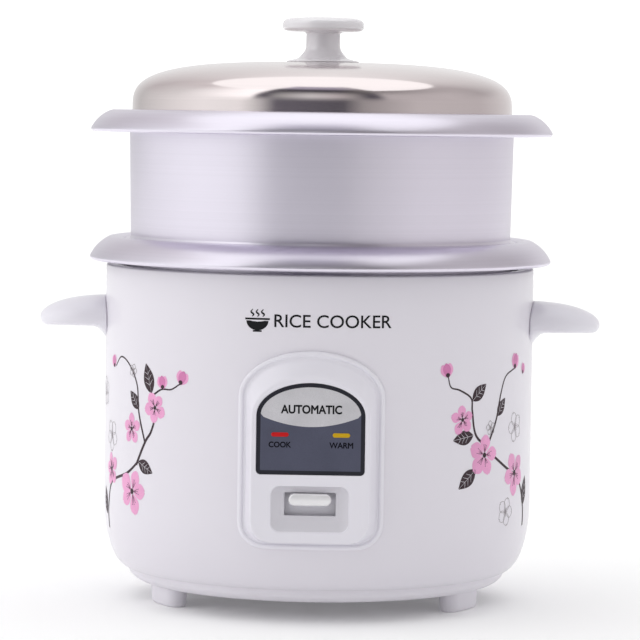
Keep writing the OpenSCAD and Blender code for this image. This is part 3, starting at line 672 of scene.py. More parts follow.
def panel_lip(shape):
    """Rings of the lip that follows the drum, with a rounded outer edge."""
    outer = arch_outline(*PANEL_SPAN)
    rings = [against_drum(shape, outer, 0.05), against_drum(shape, outer, 1.3)]
    section = [
        (0.2, 1.75), (0.7, 2.1), (1.3, 2.2), (2.0, 2.15), (2.5, 1.8), (2.8, 1.3), (3.1, 1.0),
        (3.5, LIP_PROUD),
    ]
    return rings + [against_drum(shape, arch_outline(*PANEL_SPAN, inset), proud) for inset, proud in section]


def panel_slope(shape):
    """Rings of the slope from the lip up to the flat face."""
    face_edge = 0.5
    rounding = 0.2
    foot, face = arch_outline(*PANEL_SPAN, LIP), arch_outline(*FACE_SPAN)
    y_foot = [drum_y(x, z) - LIP_PROUD for x, z in foot]
    rings = []
    steps = 18
    for i in range(steps + 1):
        t = i / steps
        level = eased(t, rounding)
        rings.append(shape.ring([
            (p[0], y + (-PANEL_FACE - y) * level, p[1]) for p, y in zip(blend_rings(foot, face, t), y_foot)
        ]))
    return rings + [shape.upright(arch_outline(*FACE_SPAN, face_edge), -PANEL_FACE)]


def plate_pocket(shape):
    """The pocket for the dark plate. Its outer ring is returned."""
    depths = ((-0.55, 0.0), (-0.3, 0.0), (-0.1, 0.2), (-0.1, 1.25))
    rings = [shape.upright(arch_outline(*FASCIA_SPAN, inset), -PANEL_FACE + depth) for inset, depth in depths]
    shape.skin(rings)
    shape.fill(rings[-1])
    return rings[0]


def lever_recess(shape):
    """The dished recess and the window through to the drum. Its first and last rings are returned."""
    dish_out = rounded_box(44.7, 26.6, 5.4, *RECESS_AT)
    dish_in = rounded_box(29.5, 13.6, 0.8, *WINDOW_AT)
    window = rounded_box(29.1, 13.2, 0.6, *WINDOW_AT)
    rings = [shape.upright(rounded_box(45.7, 27.6, 5.9, *RECESS_AT), -PANEL_FACE)]
    steps = 14
    for i in range(steps + 1):
        t = i / steps
        depth = (PANEL_FACE - RECESS_FLOOR) * math.sin(math.pi / 2 * t) ** 0.72
        rings.append(shape.upright(blend_rings(dish_out, dish_in, t), -PANEL_FACE + depth))
    rings.append(shape.upright(window, -RECESS_FLOOR + 0.25))
    rings.append(against_drum(shape, window, 0.25))
    for i, (a, b) in enumerate(zip(rings, rings[1:])):
        # Slot 1 gives the dish walls the darker painted-shade tone.
        shape.band(a, b, slot=1 if 1 < i <= steps else 0)
    return rings[0], rings[-1]


def control_panel():
    """The white moulding, closed at the back from the window out to the lip."""
    shape = Shape()
    rings = panel_lip(shape) + panel_slope(shape)
    shape.skin(rings)
    pocket = plate_pocket(shape)
    recess, window = lever_recess(shape)
    shape.fill(rings[-1], [pocket, recess])
    backing = against_drum(shape, rounded_box(34.0, 18.0, 1.0, *WINDOW_AT), 0.05)
    shape.band(window, backing)
    shape.fill(rings[0], [backing])
    shape.build("panel_moulding", ["white", "recess"], "housing", ["control_panel"], "white_plastic", 38.0)


def eye_curve(x, half=28.3, low_z=115.1, high_z=121.2):
    """Height of the arc between the plate's light and dark fields."""
    return low_z + (high_z - low_z) * (x / half) ** 2


def fascia_plate():
    """The printed plate: a dark border around a light field above a slate one."""
    shape = Shape()
    y_print = -PANEL_FACE + 0.02
    n = 36
    border = arch_outline(*FASCIA_SPAN, 2.3)
    rings = [
        shape.upright(arch_outline(*FASCIA_SPAN), -PANEL_FACE + 1.2),
        shape.upright(arch_outline(*FASCIA_SPAN), -PANEL_FACE + 0.25),
        shape.upright(arch_outline(*FASCIA_SPAN, 0.22), y_print),
        shape.upright(border, y_print),
    ]
    shape.skin(rings)
    shape.fill(rings[0])
    # the two fields meet along the arc, from one side of the border to the other
    inner = rings[-1]
    upper = [i for i, (x, z) in zip(inner, border) if z > eye_curve(x) + 0.4]
    first = next(k for k in range(len(inner)) if inner[k] in upper and inner[k - 1] not in upper)
    around = inner[first:] + inner[:first]
    lower = [i for i in around if i not in upper]
    upper = [i for i in around if i in upper]
    right, left = shape.points[upper[0]][0], shape.points[upper[-1]][0]
    across = [left + (right - left) * i / n for i in range(1, n)]
    between = shape.upright([(x, eye_curve(x)) for x in across], y_print)
    shape.fill(upper + between, slot=1)
    shape.fill([upper[-1]] + lower + [upper[0]] + between[::-1], slot=2)
    shape.build("printed_plate", ["fascia_border", "fascia_light", "fascia_slate"], "housing",
                ["fascia_plate"], "fascia_print", 30.0)


def pillow(name, outline_at, y_back, y_front, edge, materials, body, replaces, slot, crown=0.0):
    """A flat moulding standing out towards -Y, with a rounded front edge and a slightly crowned face."""
    shape = Shape()
    rings = [shape.upright(outline_at(0.0), y_back)]
    for i in range(7):
        a = math.radians(15 * i)
        rings.append(shape.upright(outline_at(edge * (1 - math.cos(a))), y_front + edge - edge * math.sin(a)))
    for k in (1.25, 1.6, 2.1):
        rings.append(shape.upright(outline_at(edge * k), y_front - crown * (k - 1)))
    shape.skin(rings)
    shape.fill(rings[0])
    shape.fill(rings[-1])
    return shape.build(name, materials, body, replaces, slot, 60.0)


def stadium(w, h, cx, cz):
    """Outline maker for a round-ended bar."""
    def at(inset):
        hh = h - 2 * inset
        ww = w - 2 * inset
        return rounded_box(ww, hh, hh / 2 - 0.01, cx, cz, 10, 8)
    return at


def lamp_lenses():
    """The red lens of COOK and the amber lens of WARM."""
    z = (low("cook_lamp_lens").z + high("cook_lamp_lens").z) / 2
    for name, node, tint, slot in (
        ("cook_lens", "cook_lamp_lens", "red", "red_lens"),
        ("warm_lens", "warm_lamp_lens", "amber", "amber_lens"),
    ):
        x = (low(node).x + high(node).x) / 2
        pillow(name, stadium(10.0, 2.6, x, z), -PANEL_FACE + 0.6, -PANEL_FACE - 0.28, 0.55, [tint], "housing",
               [node], slot)


def lever_knob():
    """The button, the stem behind it and the curtain that closes the window around the stem."""
    button_z = 73.75
    curtain_z = 70.5
    y_front = low("lever_knob").y
    pillow("lever_button", stadium(24.2, 6.9, 0.0, button_z), -129.7, y_front + 0.15, 1.5, ["silver"],
           "cook_lever", ["lever_knob"], "pearl_plastic", 0.1)
    pillow("lever_stem", lambda d: rounded_box(18.0 - 2 * d, 4.5 - 2 * d, 0.6, 0.0, button_z),
           -122.9, -129.9, 0.3, ["silver"], "cook_lever", (), "pearl_plastic")
    pillow("lever_curtain", lambda d: rounded_box(31.0 - 2 * d, 26.0 - 2 * d, 1.5, 0.0, curtain_z),
           -122.95, -124.1, 0.3, ["white"], "cook_lever", (), "pearl_plastic")


# ---------------------------------------------------------------- handles and feet

def handle(side, name, node):
    """A grip with a crowned top, an elliptical plan and a flared root, closed on the drum."""
    reach = high("right_handle").x
    half = high("right_handle").y
    top, mid, bottom, root = high("right_handle").z, 167.0, 162.0, 155.0
    straight, nose, flare_length, root_inset = 10.0, 5.0, 8.0, 0.75
    n = 56
    shape = Shape()
    rings = []
    stations = [0.0, 0.012] + [0.03 + 0.97 * i / 22 for i in range(23)]
    for t in stations:
        s = math.sin(math.pi / 2 * t)
        x_mid = DRUM_R + (reach - DRUM_R) * s
        shrink = math.sqrt(max(1 - s * s, 0.0))
        curved = max(0.0, (x_mid - DRUM_R - straight) / (reach - DRUM_R - straight))
        plan = half * max(1 - curved ** 2.6, 0.0) ** 0.5
        crown = mid + (top - mid) * shrink
        flare = max(0.0, 1 - (x_mid - DRUM_R) / flare_length)
        under = bottom - (bottom - root) * flare ** 2.2
        if x_mid > reach - nose:
            k = (x_mid - reach + nose) / nose
            under = mid - (mid - bottom) * math.sqrt(max(1 - k * k, 0.0))
        gap = root_inset if t == 0.0 else 0.0
        ring = []
        for i in range(n):
            a = TAU * i / n
            c, q = math.cos(a), math.sin(a)
            power = 0.92 if q >= 0 else 0.48
            y = (plan - gap) * math.copysign(abs(c) ** 0.86, c)
            lift = (crown - gap - mid) if q >= 0 else (mid - under - gap)
            z = mid + lift * math.copysign(abs(q) ** power, q)
            base = math.sqrt(max(drum_radius(z) ** 2 - y * y, 0.0)) + 0.04
            ring.append((side * (base + (x_mid - DRUM_R)), y, z))
        rings.append(ring)
    indices = [shape.ring(r) for r in rings[:-1]]
    shape.skin(indices)
    shape.fan(indices[-1], (side * reach, 0.0, mid))
    shape.fill(indices[0], flat=lambda p: (p[1], p[2]))
    grip = shape.build(name, ["white"], "housing", [node], "white_plastic", 50.0)
    cut(grip, finger_hollow(side))
    smooth(grip, 50.0)


def finger_hollow(side):
    """What is cut from under a grip for the fingers, narrowing upwards."""
    wide, long, corner, middle_x = 20.0, 34.0, 5.0, 148.5
    hollow = Shape()
    loops = []
    for z, inset in ((140.0, -0.6), (165.5, 0.4), (167.6, 1.2), (168.6, 2.6)):
        outline = rounded_box(wide - 2 * inset, long - 2 * inset, corner, side * middle_x, 0.0)
        loops.append(hollow.ring([(x, y, z) for x, y in outline]))
    hollow.skin(loops)
    hollow.cap(loops[0])
    hollow.cap(loops[-1])
    return hollow.bare("cut_grip")


def feet():
    """Four curved blocks with drawn sides and rounded soles."""
    r_mid, half_w, top = 96.5, 6.5, low("base_cover").z
    reach = math.radians(6.5) * r_mid
    shape = Shape()
    for angle in (63, 117, 243, 297):
        loops = []
        for z, inset in ((top, 0.0), (2.4, 0.45), (1.2, 0.75), (0.45, 1.15), (0.08, 1.9), (0.0, 2.8)):
            w = half_w - inset
            outline = arc(-reach, 0.0, w, 90, 270, 12)
            outline += [(-reach + 2 * reach * i / 16, -w) for i in range(1, 16)]
            outline += arc(reach, 0.0, w, -90, 90, 12)
            outline += [(reach - 2 * reach * i / 16, w) for i in range(1, 16)]
            loop = []
            for u, v in outline:
                a = math.radians(angle) + u / r_mid
                loop.append(((r_mid + v) * math.sin(a), -(r_mid + v) * math.cos(a), z))
            loops.append(shape.ring(loop))
        shape.skin(loops)
        shape.fill(loops[0], flat=lambda p: (p[0], p[1]))
        shape.fill(loops[-1], flat=lambda p: (p[0], p[1]))
    shape.build("moulded_feet", ["base_white"], "housing", ["feet"], "white_plastic", 55.0)


def panel_screws():
    """The CAD screws drawn again with shorter tips, which stay under the moulding's rounded slope."""
    cut_back = 1.0
    tips = (low("panel_screws").y + 1.5) * MM
    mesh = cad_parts["panel_screws"].data.copy()
    for vertex in mesh.vertices:
        if vertex.co.y < tips:
            vertex.co.y += cut_back * MM
    place(linked("panel_fixings", mesh), "housing", ["panel_screws"])


def springs():
    """The CAD springs drawn again, each on its own copy of the mesh."""
    for node, body, joint, travel, moving_z in (
        ("sensor_spring", "sensor", "sensor_press", 2.0, high("sensor_spring").z),
        ("magnet_spring", "magnet_assembly", "magnet_rise", 4.75, low("magnet_spring").z),
    ):
        coil = linked(f"{node}_coil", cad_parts[node].data.copy())
        place(coil, body, [node])
        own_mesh(coil)


# ---------------------------------------------------------------- print on the drum

PRINT_LIFT = 0.06


def on_drum(u, v, lift=PRINT_LIFT):
    """A point of the print: u mm around the drum from the front, towards +X, at height v."""
    r = drum_radius(v) + lift
    return (r * math.sin(u / DRUM_R), -r * math.cos(u / DRUM_R), v)


class Print:
    """Flat shapes laid on the drum, gathered by ink colour."""

    def __init__(self):
        self.shapes = {}

    def area(self, ink, outline, centre, lift=0.0):
        """A star-shaped area seen from its centre, in two rings so that it follows the drum."""
        shape = self.shapes.setdefault(ink, Shape())
        cu, cv = centre
        middle = [(cu + (u - cu) * 0.5, cv + (v - cv) * 0.5) for u, v in outline]
        level = PRINT_LIFT + lift
        outer = shape.ring([on_drum(u, v, level) for u, v in outline])
        inner = shape.ring([on_drum(u, v, level) for u, v in middle])
        shape.band(outer, inner)
        shape.fan(inner, on_drum(cu, cv, level))

    def stroke(self, ink, points, widths, lift=0.0):
        """A line through the points whose width goes evenly through the widths."""
        shape = self.shapes.setdefault(ink, Shape())
        path = curve(points)
        left, right = [], []
        for i, p in enumerate(path):
            a, b = path[max(i - 1, 0)], path[min(i + 1, len(path) - 1)]
            along = (b - a).normalized()
            t = i / (len(path) - 1) * (len(widths) - 1)
            k = min(int(t), len(widths) - 2)
            w = (widths[k] + (widths[k + 1] - widths[k]) * (t - k)) / 2
            side = Vector((-along.y, along.x)) * w
            left.append(on_drum(*(p + side), PRINT_LIFT + lift))
            right.append(on_drum(*(p - side), PRINT_LIFT + lift))
        shape.band(shape.ring(left), shape.ring(right), closed=False)

    def finish(self, prefix):
        """One piece for each ink."""
        for ink, shape in self.shapes.items():
            shape.build(f"{prefix}_{ink}", [ink], "housing", (), "drum_enamel", 80.0, thickness=0.03)


def curve(points, per_span=8):
    """A smooth curve through the points."""
    p = [Vector(q) for q in points]
    p = [2 * p[0] - p[1]] + p + [2 * p[-1] - p[-2]]
    out = []
    for a, b, c, d in zip(p, p[1:], p[2:], p[3:]):
        for i in range(per_span):
            t = i / per_span
            out.append(0.5 * ((2 * b) + (c - a) * t + (2 * a - 5 * b + 4 * c - d) * t * t
                              + (3 * b - a - 3 * c + d) * t ** 3))
    out.append(p[-2])
    return out


def petal_outline(size, width, notch):
    """A petal pointing along +v from its base at the origin."""
    half = [(width * math.sin(math.pi * (i / 14) ** 1.25) ** 0.7, size * i / 14) for i in range(14)]
    right = half + [(width * 0.16, size), (0.0, size * (1 - notch))]
    return right + [(-u, v) for u, v in reversed(right[1:-1])]


def turned(outline, angle, centre):
    """An outline turned to the left by an angle in radians and moved to its centre."""
    c, s = math.cos(angle), math.sin(angle)
    return [(centre[0] + u * c - v * s, centre[1] + u * s + v * c) for u, v in outline]


def dot(art, ink, centre, r, lift=0.0):
    """A small round spot."""
    art.area(ink, arc(*centre, r, 0, 324, 9), centre, lift)


def blossom(art, centre, size, turn):
    """Five notched petals around a dark heart with stamens."""
    for k in range(5):
        angle = math.radians(turn) + TAU * k / 5 + rng.uniform(-0.10, 0.10)
        length = size * rng.uniform(0.90, 1.08)
        width = length * rng.uniform(0.34, 0.40)
        outline = [(u, v + size * 0.10) for u, v in petal_outline(length * 0.92, width, 0.06)]
        art.area("petal", turned(outline, angle, centre), turned([(0.0, length * 0.58)], angle, centre)[0])
        for lean in (-0.22, 0.0, 0.22):
            reach = length * rng.uniform(0.40, 0.58)
            vein = [(0.0, size * 0.14), (reach * lean * 0.5, reach * 0.6), (reach * lean, reach)]
            vein = turned(vein, angle, centre)
            art.stroke("twig", vein, (0.20, 0.34, 0.12), 0.08)
            dot(art, "twig", vein[-1], 0.26, 0.10)
    dot(art, "twig", centre, size * 0.13, 0.12)


def bud(art, base, size, turn):
    """A closed bud of three petals in a dark cup."""
    angle = math.radians(turn)
    for ink, long, wide, lean, lift in (
        ("petal", size, size * 0.33, -0.35, 0.0), ("petal", size, size * 0.33, 0.35, 0.04),
        ("petal_deep", size, size * 0.33, 0.0, 0.08), ("twig", size * 0.34, size * 0.18, 0.0, 0.15),
    ):
        middle = turned([(0.0, long * 0.5)], angle + lean, base)[0]
        art.area(ink, turned(petal_outline(long, wide, 0.0), angle + lean, base), middle, lift)


def leaf(art, base, size, turn):
    """A pointed leaf, drawn as two halves either side of a light vein, with light ribs."""
    angle = math.radians(turn)
    for side in (-1, 1):
        edge = [(side * (size * 0.26 * math.sin(math.pi * (i / 10) ** 0.85) + 0.12), size * i / 10)
                for i in range(11)]
        vein = [(side * 0.12, size * i / 10) for i in range(10, -1, -1)]
        middle = turned([(side * size * 0.12, size * 0.45)], angle, base)[0]
        art.area("twig", turned(edge + vein, angle, base), middle)
        for t in (0.28, 0.46, 0.64):
            rib = [(0.2, size * t), (size * 0.10, size * (t + 0.08)), (size * 0.19, size * (t + 0.14))]
            rib = turned([(side * u, v) for u, v in rib], angle, base)
            art.stroke("vein", rib, (0.32, 0.24, 0.12), 0.06)


def ghost_blossom(art, centre, size, turn):
    """A blossom drawn only in a thin outline."""
    for k in range(5):
        angle = math.radians(turn) + TAU * k / 5
        outline = turned(petal_outline(size, size * 0.4, 0.1), angle, centre)
        art.stroke("outline", outline + [outline[0]], (0.28, 0.28))
        vein = turned([(0.0, size * 0.1), (0.2, size * 0.35)], angle, centre)
        art.stroke("outline", vein, (0.3, 0.15))


def at(degrees, height):
    """Drum place of an angle from the front and a height."""
    return (math.radians(degrees) * DRUM_R, height)


def sprig(art, stems, leaves, buds, ghosts, blossoms):
    """A sprig whose twigs run through (degrees, height) places. Its other parts are (degrees, height, size,
    turn to the left in degrees)."""
    for places, widths in stems:
        art.stroke("twig", [at(*p) for p in places], widths, -0.02)
    for draw, parts in ((leaf, leaves), (bud, buds), (ghost_blossom, ghosts), (blossom, blossoms)):
        for degrees, height, size, turn in parts:
            draw(art, at(degrees, height), size, turn)


def right_sprig(art):
    """Blossoms on the drum's right side."""
    sprig(
        art,
        stems=[
            ([(74, 49.5), (73, 63.5), (69, 77.5), (60, 87.5), (52, 97.5)], (2.0, 1.7, 1.5)),
            ([(52, 99.5), (47, 107.5), (45.5, 121.5), (45, 129), (41, 134), (38, 136), (37, 142)],
             (1.7, 1.3, 1.0, 0.7)),
            ([(52, 101.5), (55.5, 115.5), (57.5, 130), (60, 140), (65, 144)], (1.6, 1.2, 0.8)),
        ],
        leaves=[(45.5, 127.5, 15, -52), (46, 107.5, 16, 98), (47, 87.5, 17, 128), (56, 117.5, 13, -40),
                (73, 61.5, 18, -16)],
        buds=[(37, 141.5, 8.5, 12), (65, 143.5, 9.5, -14), (71, 140, 6.5, -25)],
        ghosts=[(66, 109.5, 9.0, 20), (61, 60.5, 8.5, 50), (53, 111, 4.2, 10)],
        blossoms=[(42, 117, 8.8, 8), (66, 82.5, 13.2, 28), (50.5, 95.5, 12.2, -10)],
    )


def left_sprig(art):
    """Blossoms on the drum's left side."""
    sprig(
        art,
        stems=[
            ([(-73.5, 44), (-72.5, 58), (-69.5, 72), (-58.5, 80), (-52.5, 88)], (2.0, 1.7, 1.5)),
            ([(-53.5, 86), (-49.5, 100), (-47, 106.5), (-45.5, 116.5), (-46.5, 128.5)], (1.9, 1.6, 1.2)),
            ([(-46.5, 127.5), (-43, 131.5), (-39.5, 132), (-36.5, 135.5)], (1.2, 0.9, 0.8)),
            ([(-49.5, 99), (-52.5, 116.5), (-53.5, 132.5), (-57.5, 143.5), (-62.5, 147.5), (-66.5, 141.5)],
             (1.5, 1.1, 0.8)),
        ],
        leaves=[(-47, 128.5, 18, 18), (-52.5, 118.5, 14, 44), (-52.5, 88, 15, -112), (-74.5, 52, 17, 20)],
        buds=[(-42.5, 131.5, 8.0, 8), (-36.5, 135, 8.5, -22), (-67.5, 140.5, 7.5, 20)],
        ghosts=[(-69.5, 100, 9.5, 35), (-77.5, 124.5, 9.0, 10), (-55.5, 140.5, 4.0, -20)],
        blossoms=[(-45.5, 120.5, 9.0, 30), (-56, 106.5, 9.5, 4), (-69.5, 80, 10.5, 12),
                  (-55.5, 70, 13.5, -18)],
    )


# ---------------------------------------------------------------- lettering

def bolder(work, weight):
    """Pushes the outline of flat letters outwards by the given weight."""
    moves = {}
    for edge in work.edges:
        if not edge.is_boundary:
            continue
        a, b = edge.verts[0].co, edge.verts[1].co
        out = Vector((b.y - a.y, a.x - b.x, 0.0)).normalized()
        if out.dot(edge.link_faces[0].calc_center_median() - a) > 0:
            out = -out
        for vertex in edge.verts:
            moves.setdefault(vertex, []).append(out)
    for vertex, sides in moves.items():
        middle = sum(sides, Vector()).normalized()
        vertex.co += middle * weight * min(1.5, 1 / max(0.1, middle.dot(sides[0])))


def lettering(name, words, centre, cap_height, width, ink, wrap, weight):
    """Plain words in Blender's own font, sized to a cap height and a width, laid on the front by wrap."""
    print_depth = 0.04
    data = bpy.data.curves.new(name, "FONT")
    data.body = words
    data.align_x = "CENTER"
    data.resolution_u = 4
    text = linked(name, data)
    graph = bpy.context.evaluated_depsgraph_get()
    mesh = bpy.data.meshes.new_from_object(text.evaluated_get(graph))
    bpy.data.objects.remove(text)
    xs = [v.co.x for v in mesh.vertices]
    ys = [v.co.y for v in mesh.vertices]
    work = bmesh.new()
    work.from_mesh(mesh)
    bmesh.ops.remove_doubles(work, verts=work.verts, dist=1e-6)
    bolder(work, weight)
    for vertex in work.verts:
        x = ((vertex.co.x - min(xs)) / (max(xs) - min(xs)) - 0.5) * width + centre[0]
        z = (vertex.co.y - min(ys)) / (max(ys) - min(ys)) * cap_height + centre[1] - cap_height / 2
        vertex.co = Vector(wrap(x, z)) * MM
    extruded = bmesh.ops.extrude_face_region(work, geom=work.faces[:])
    for item in extruded["geom"]:
        if isinstance(item, bmesh.types.BMVert):
            out = Vector((item.co.x, item.co.y, 0.0)).normalized()
            item.co += out * print_depth * MM
    bmesh.ops.recalc_face_normals(work, faces=work.faces)
    work.to_mesh(mesh)
    work.free()
    mesh.materials.clear()
    mesh.materials.append(MATERIALS[ink])
    place(linked(name, mesh), "housing", (), "fascia_print")


def on_plate(x, z):
    """A point of the print on the flat plate."""
    return (x, -PANEL_FACE, z)


def bowl_mark(art, cu, cv, size):
    """A plain bowl with three wisps of steam."""
    rim_v = cv - size * 0.02
    bowl = [(cu + size * 0.5 * math.cos(math.radians(a)), rim_v + size * 0.42 * math.sin(math.radians(a)))
            for a in range(180, 361, 10)]
    art.area("ink", bowl, (cu, cv - size * 0.15))
    for half, v, width in ((0.56, 0.06, 0.08), (0.2, -0.47, 0.07)):
        bar = [(cu + size * half * k, cv + size * v) for k in (-1, 0, 1)]
        art.stroke("ink", bar, (size * width, size * width))
    for k in (-1, 0, 1):
        wisp = ((0.0, 0.16), (0.07, 0.25), (-0.05, 0.36), (0.03, 0.48))
        wisp = [(cu + size * (0.24 * k + u), cv + size * v) for u, v in wisp]
        art.stroke("ink", wisp, (size * 0.03, size * 0.08, size * 0.03))


# ---------------------------------------------------------------- build

def dress_frame():
    """Materials for the CAD nodes that show as they are."""
    looks = {
        "base_cover": "base_white", "terminal_bushes": "ceramic", "terminal_block": "ceramic",
        "thermal_fuse": "ceramic", "inner_liner": "liner", "sensor_cap": "liner", "ferrite": "magnet",
        "magnet": "magnet", "neon_lamps": "neon", "power_inlet": "dark", "warm_thermostat": "dark",
        "microswitch": "dark", "inlet_pins": "brass", "switch_leaf": "brass", "wiring": "wire",
        "heating_plate": "cast",
    }
    zinc_nodes = (
        "base_screws", "foot_screws", "handle_screws", "panel_screws", "inlet_screws", "heating_element",
        "heater_spacers", "heater_screws", "sensor_base", "sensor_screws", "sensor_spring", "magnet_rod",
        "magnet_spring", "lever_bracket", "bracket_screws", "lever_pivot_pin", "lever_arm", "switch_screws",
        "knob_screw", "knob_washer",
    )
    looks.update(dict.fromkeys(zinc_nodes, "zinc"))
    for node, look in looks.items():
        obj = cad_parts[node]
        obj.data.materials.clear()
        obj.data.materials.append(MATERIALS[look])


# ---------------------------------------------------------------- studio, in metres

WALL_H = 5.6
PLAIN, ROSE, DUSK = (1, 1, 1), (1, 0.955, 0.965), (0.95, 0.9, 1.1)

# What polished metal and gloss mirror: a dark gap behind the camera, brighter high overhead. Each level is
# a height and its (degrees from the front, brightness, tint if any) stops.
MIRRORED = [
    (0.9, [(-180, 0.90), (-140, 0.60), (-100, 0.86), (-75, 1.02), (-48, 0.98), (-36, 0.62),
           (-26, 0.14, DUSK), (14, 0.10, DUSK), (26, 0.36, ROSE), (60, 0.60, ROSE), (110, 0.58, ROSE),
           (180, 0.90)]),
    (2.2, [(-180, 0.90), (-140, 0.60, ROSE), (-100, 0.80), (-60, 1.30), (-43, 1.40), (-39, 0.12, DUSK),
           (-34, 0.12, DUSK), (-27, 0.36), (-6, 0.70), (8, 0.60, ROSE), (22, 0.34, ROSE), (31, 0.10, DUSK),
           (36, 0.10, DUSK), (43, 0.55, ROSE), (90, 0.60, ROSE), (125, 0.48, ROSE), (180, 0.90)]),
    (5.2, [(-180, 1.00), (-140, 0.72, ROSE), (-100, 0.76, ROSE), (-60, 1.30), (-42, 1.45),
           (-36, 0.08, DUSK), (-24, 0.06, DUSK), (0, 0.05, DUSK), (14, 0.06, DUSK), (26, 0.12, ROSE),
           (45, 0.26, ROSE), (90, 0.45, ROSE), (125, 0.55, ROSE), (180, 1.00)]),
    (9.0, [(-180, 1.00), (-60, 1.20), (-42, 1.20), (-30, 0.50, DUSK), (14, 0.45, DUSK), (45, 0.55, ROSE),
           (180, 1.00)]),
]
# What lights matt surfaces: brightest from the left.
LIGHTING = [
    (1.0, [(-180, 1.00), (-120, 1.40), (-80, 1.80), (-45, 1.12), (-15, 0.40), (20, 0.33), (50, 0.64),
           (90, 1.02), (130, 1.03), (180, 1.00)]),
    (3.0, [(-180, 1.00), (-80, 1.38), (0, 0.60), (90, 0.96), (180, 1.00)]),
]


def wall_tone(name, levels):
    """Emission of a studio wall, blended from level to level."""
    material = bpy.data.materials.new(name)
    material.use_nodes = True
    tree = material.node_tree
    tree.nodes.remove(tree.nodes["Principled BSDF"])
    place_out = add(tree, "ShaderNodeTexCoord").outputs["Object"]
    parts = add(tree, "ShaderNodeSeparateXYZ", {"Vector": place_out})
    front = add(tree, "ShaderNodeMath", {0: parts.outputs["Y"], 1: -1.0}, operation="MULTIPLY")
    turn = add(tree, "ShaderNodeMath", {0: parts.outputs["X"], 1: front.outputs[0]}, operation="ARCTAN2")
    share = add(tree, "ShaderNodeMapRange", {
        "Value": turn.outputs[0], "From Min": -math.pi, "From Max": math.pi,
    })
    tone, below = None, 0.0
    for z, stops in levels:
        colours = []
        for degrees, bright, *tint in stops:
            tint = tint[0] if tint else PLAIN
            colours.append(((degrees + 180) / 360, tuple(bright * 0.5 * c for c in tint)))
        level = ramp(tree, share.outputs["Result"], colours)
        if tone:
            up = add(tree, "ShaderNodeMapRange", {
                "Value": parts.outputs["Z"], "From Min": below, "From Max": z,
            }, interpolation_type="SMOOTHSTEP")
            mix = add(tree, "ShaderNodeMix", {0: up.outputs["Result"], 6: tone, 7: level}, data_type="RGBA")
            level = mix.outputs[2]
        tone, below = level, z
    light = add(tree, "ShaderNodeEmission", {"Color": tone, "Strength": 2.0})
    tree.links.new(light.outputs[0], tree.nodes["Material Output"].inputs["Surface"])
    return material


def studio_wall(name, levels, radius, rise, unseen_by):
    """A ring of light that the camera doesn't see, taller by rise over the front."""
    points = []
    turns = range(-180, 181, 3)
    for z in (0.0, WALL_H):
        for a in turns:
            front = max(0.0, min(1.0, (42 - abs(a + 1)) / 8))
            high_z = z + rise * front * front * (3 - 2 * front) if z else z
            points.append((radius * math.sin(math.radians(a)), -radius * math.cos(math.radians(a)), high_z))
    n = len(turns)
    mesh = bpy.data.meshes.new(name)
    mesh.from_pydata(points, [], [(i, i + 1, n + i + 1, n + i) for i in range(n - 1)])
    mesh.materials.append(wall_tone(name, levels))
    wall = linked(name, mesh)
    wall.visible_camera = False
    setattr(wall, unseen_by, False)
    return wall


def paper_floor():
    """Pale paper under the object."""
    side = 40.0
    corners = [(-side, -side, 0), (side, -side, 0), (side, side, 0), (-side, side, 0)]
    mesh = bpy.data.meshes.new("floor")
    mesh.from_pydata(corners, [], [(0, 1, 2, 3)])
    material, tree, shader, place_out = new_material("floor_paper")
    drift = noise(tree, place_out, 1.5, 2.0)
    tone = ramp(tree, drift, [(0.3, (0.90, 0.90, 0.90)), (0.7, (0.92, 0.92, 0.92))])
    tree.links.new(tone, shader.inputs["Base Color"])
    shader.inputs["Roughness"].default_value = 0.8
    shader.inputs["Specular IOR Level"].default_value = 0.0
    shader.inputs["Emission Color"].default_value = (1.0, 1.0, 1.0, 1.0)
    shader.inputs["Emission Strength"].default_value = 0.08
    mesh.materials.append(material)
    floor = linked("floor", mesh)


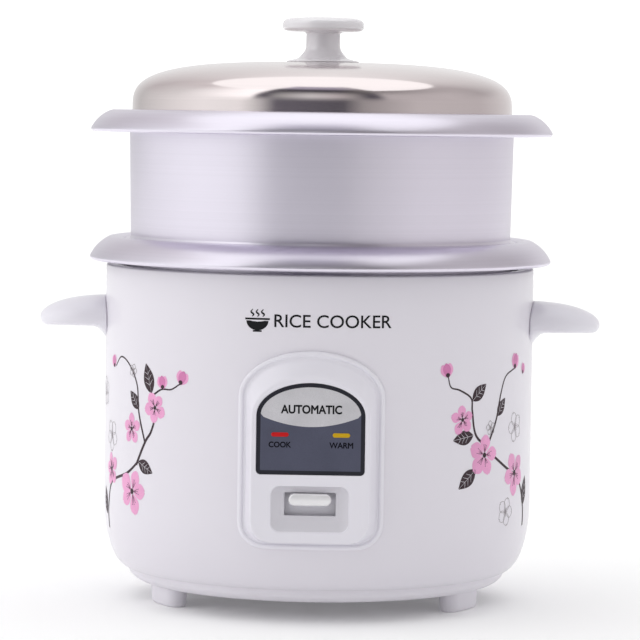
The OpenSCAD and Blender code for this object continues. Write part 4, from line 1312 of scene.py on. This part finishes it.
def photo_camera():
    """The camera at the photo's angle, a little above the object's middle and turned by a small roll."""
    data = bpy.data.cameras.new("camera")
    data.lens = 187.5
    data.sensor_width = 36.0
    azimuth, distance, eye, roll = math.radians(1.7), 2.0, 0.2935, math.radians(0.8)
    camera = linked("camera", data)
    camera.location = (distance * math.sin(azimuth), -distance * math.cos(azimuth), eye)
    aim = Vector((0.0004, 0.0, 0.1670))
    look = (aim - camera.location).to_track_quat("-Z", "Y")
    camera.rotation_euler = (look @ Quaternion((0.0, 0.0, 1.0), roll)).to_euler()
    bpy.context.scene.camera = camera


def studio():
    """Floor, soft light from all round and the camera."""
    scene = bpy.context.scene
    scene.view_settings.view_transform = "Standard"
    paper_floor()
    scene.world = bpy.data.worlds.new("studio")
    scene.world.use_nodes = True
    background = scene.world.node_tree.nodes["Background"]
    background.inputs["Color"].default_value = (1.0, 1.0, 1.0, 1.0)
    background.inputs["Strength"].default_value = 1.25
    studio_wall("mirrored_wall", MIRRORED, 4.0, 8.4, "visible_diffuse")
    lighting = studio_wall("lighting_wall", LIGHTING, 3.9, 0.0, "visible_glossy")
    lighting.visible_shadow = False
    photo_camera()


studio()
dress_frame()
outer_shell()
inner_pot()
second_pan()
lid()
lid_knob()
control_panel()
fascia_plate()
lamp_lenses()
lever_knob()
handle(1, "grip_right", "right_handle")
handle(-1, "grip_left", "left_handle")
feet()
springs()
panel_screws()

lettering("label_cook", "COOK", (-17.3, 104.95), 3.1, 12.4, "label_ink", on_plate, 0.028)
lettering("label_warm", "WARM", (17.3, 104.95), 3.1, 13.2, "label_ink", on_plate, 0.028)
lettering("label_auto", "AUTOMATIC", (0.3, 125.0), 4.6, 34.0, "ink", on_plate, 0.034)
lettering("label_name", "RICE COOKER", (11.8, 174.2), 7.2, 66.8, "ink", on_drum, 0.008)

marks = Print()
bowl_mark(marks, -31.6, 174.2, 13.0)
marks.finish("mark")
sprigs = Print()
right_sprig(sprigs)
left_sprig(sprigs)
sprigs.finish("sprig")
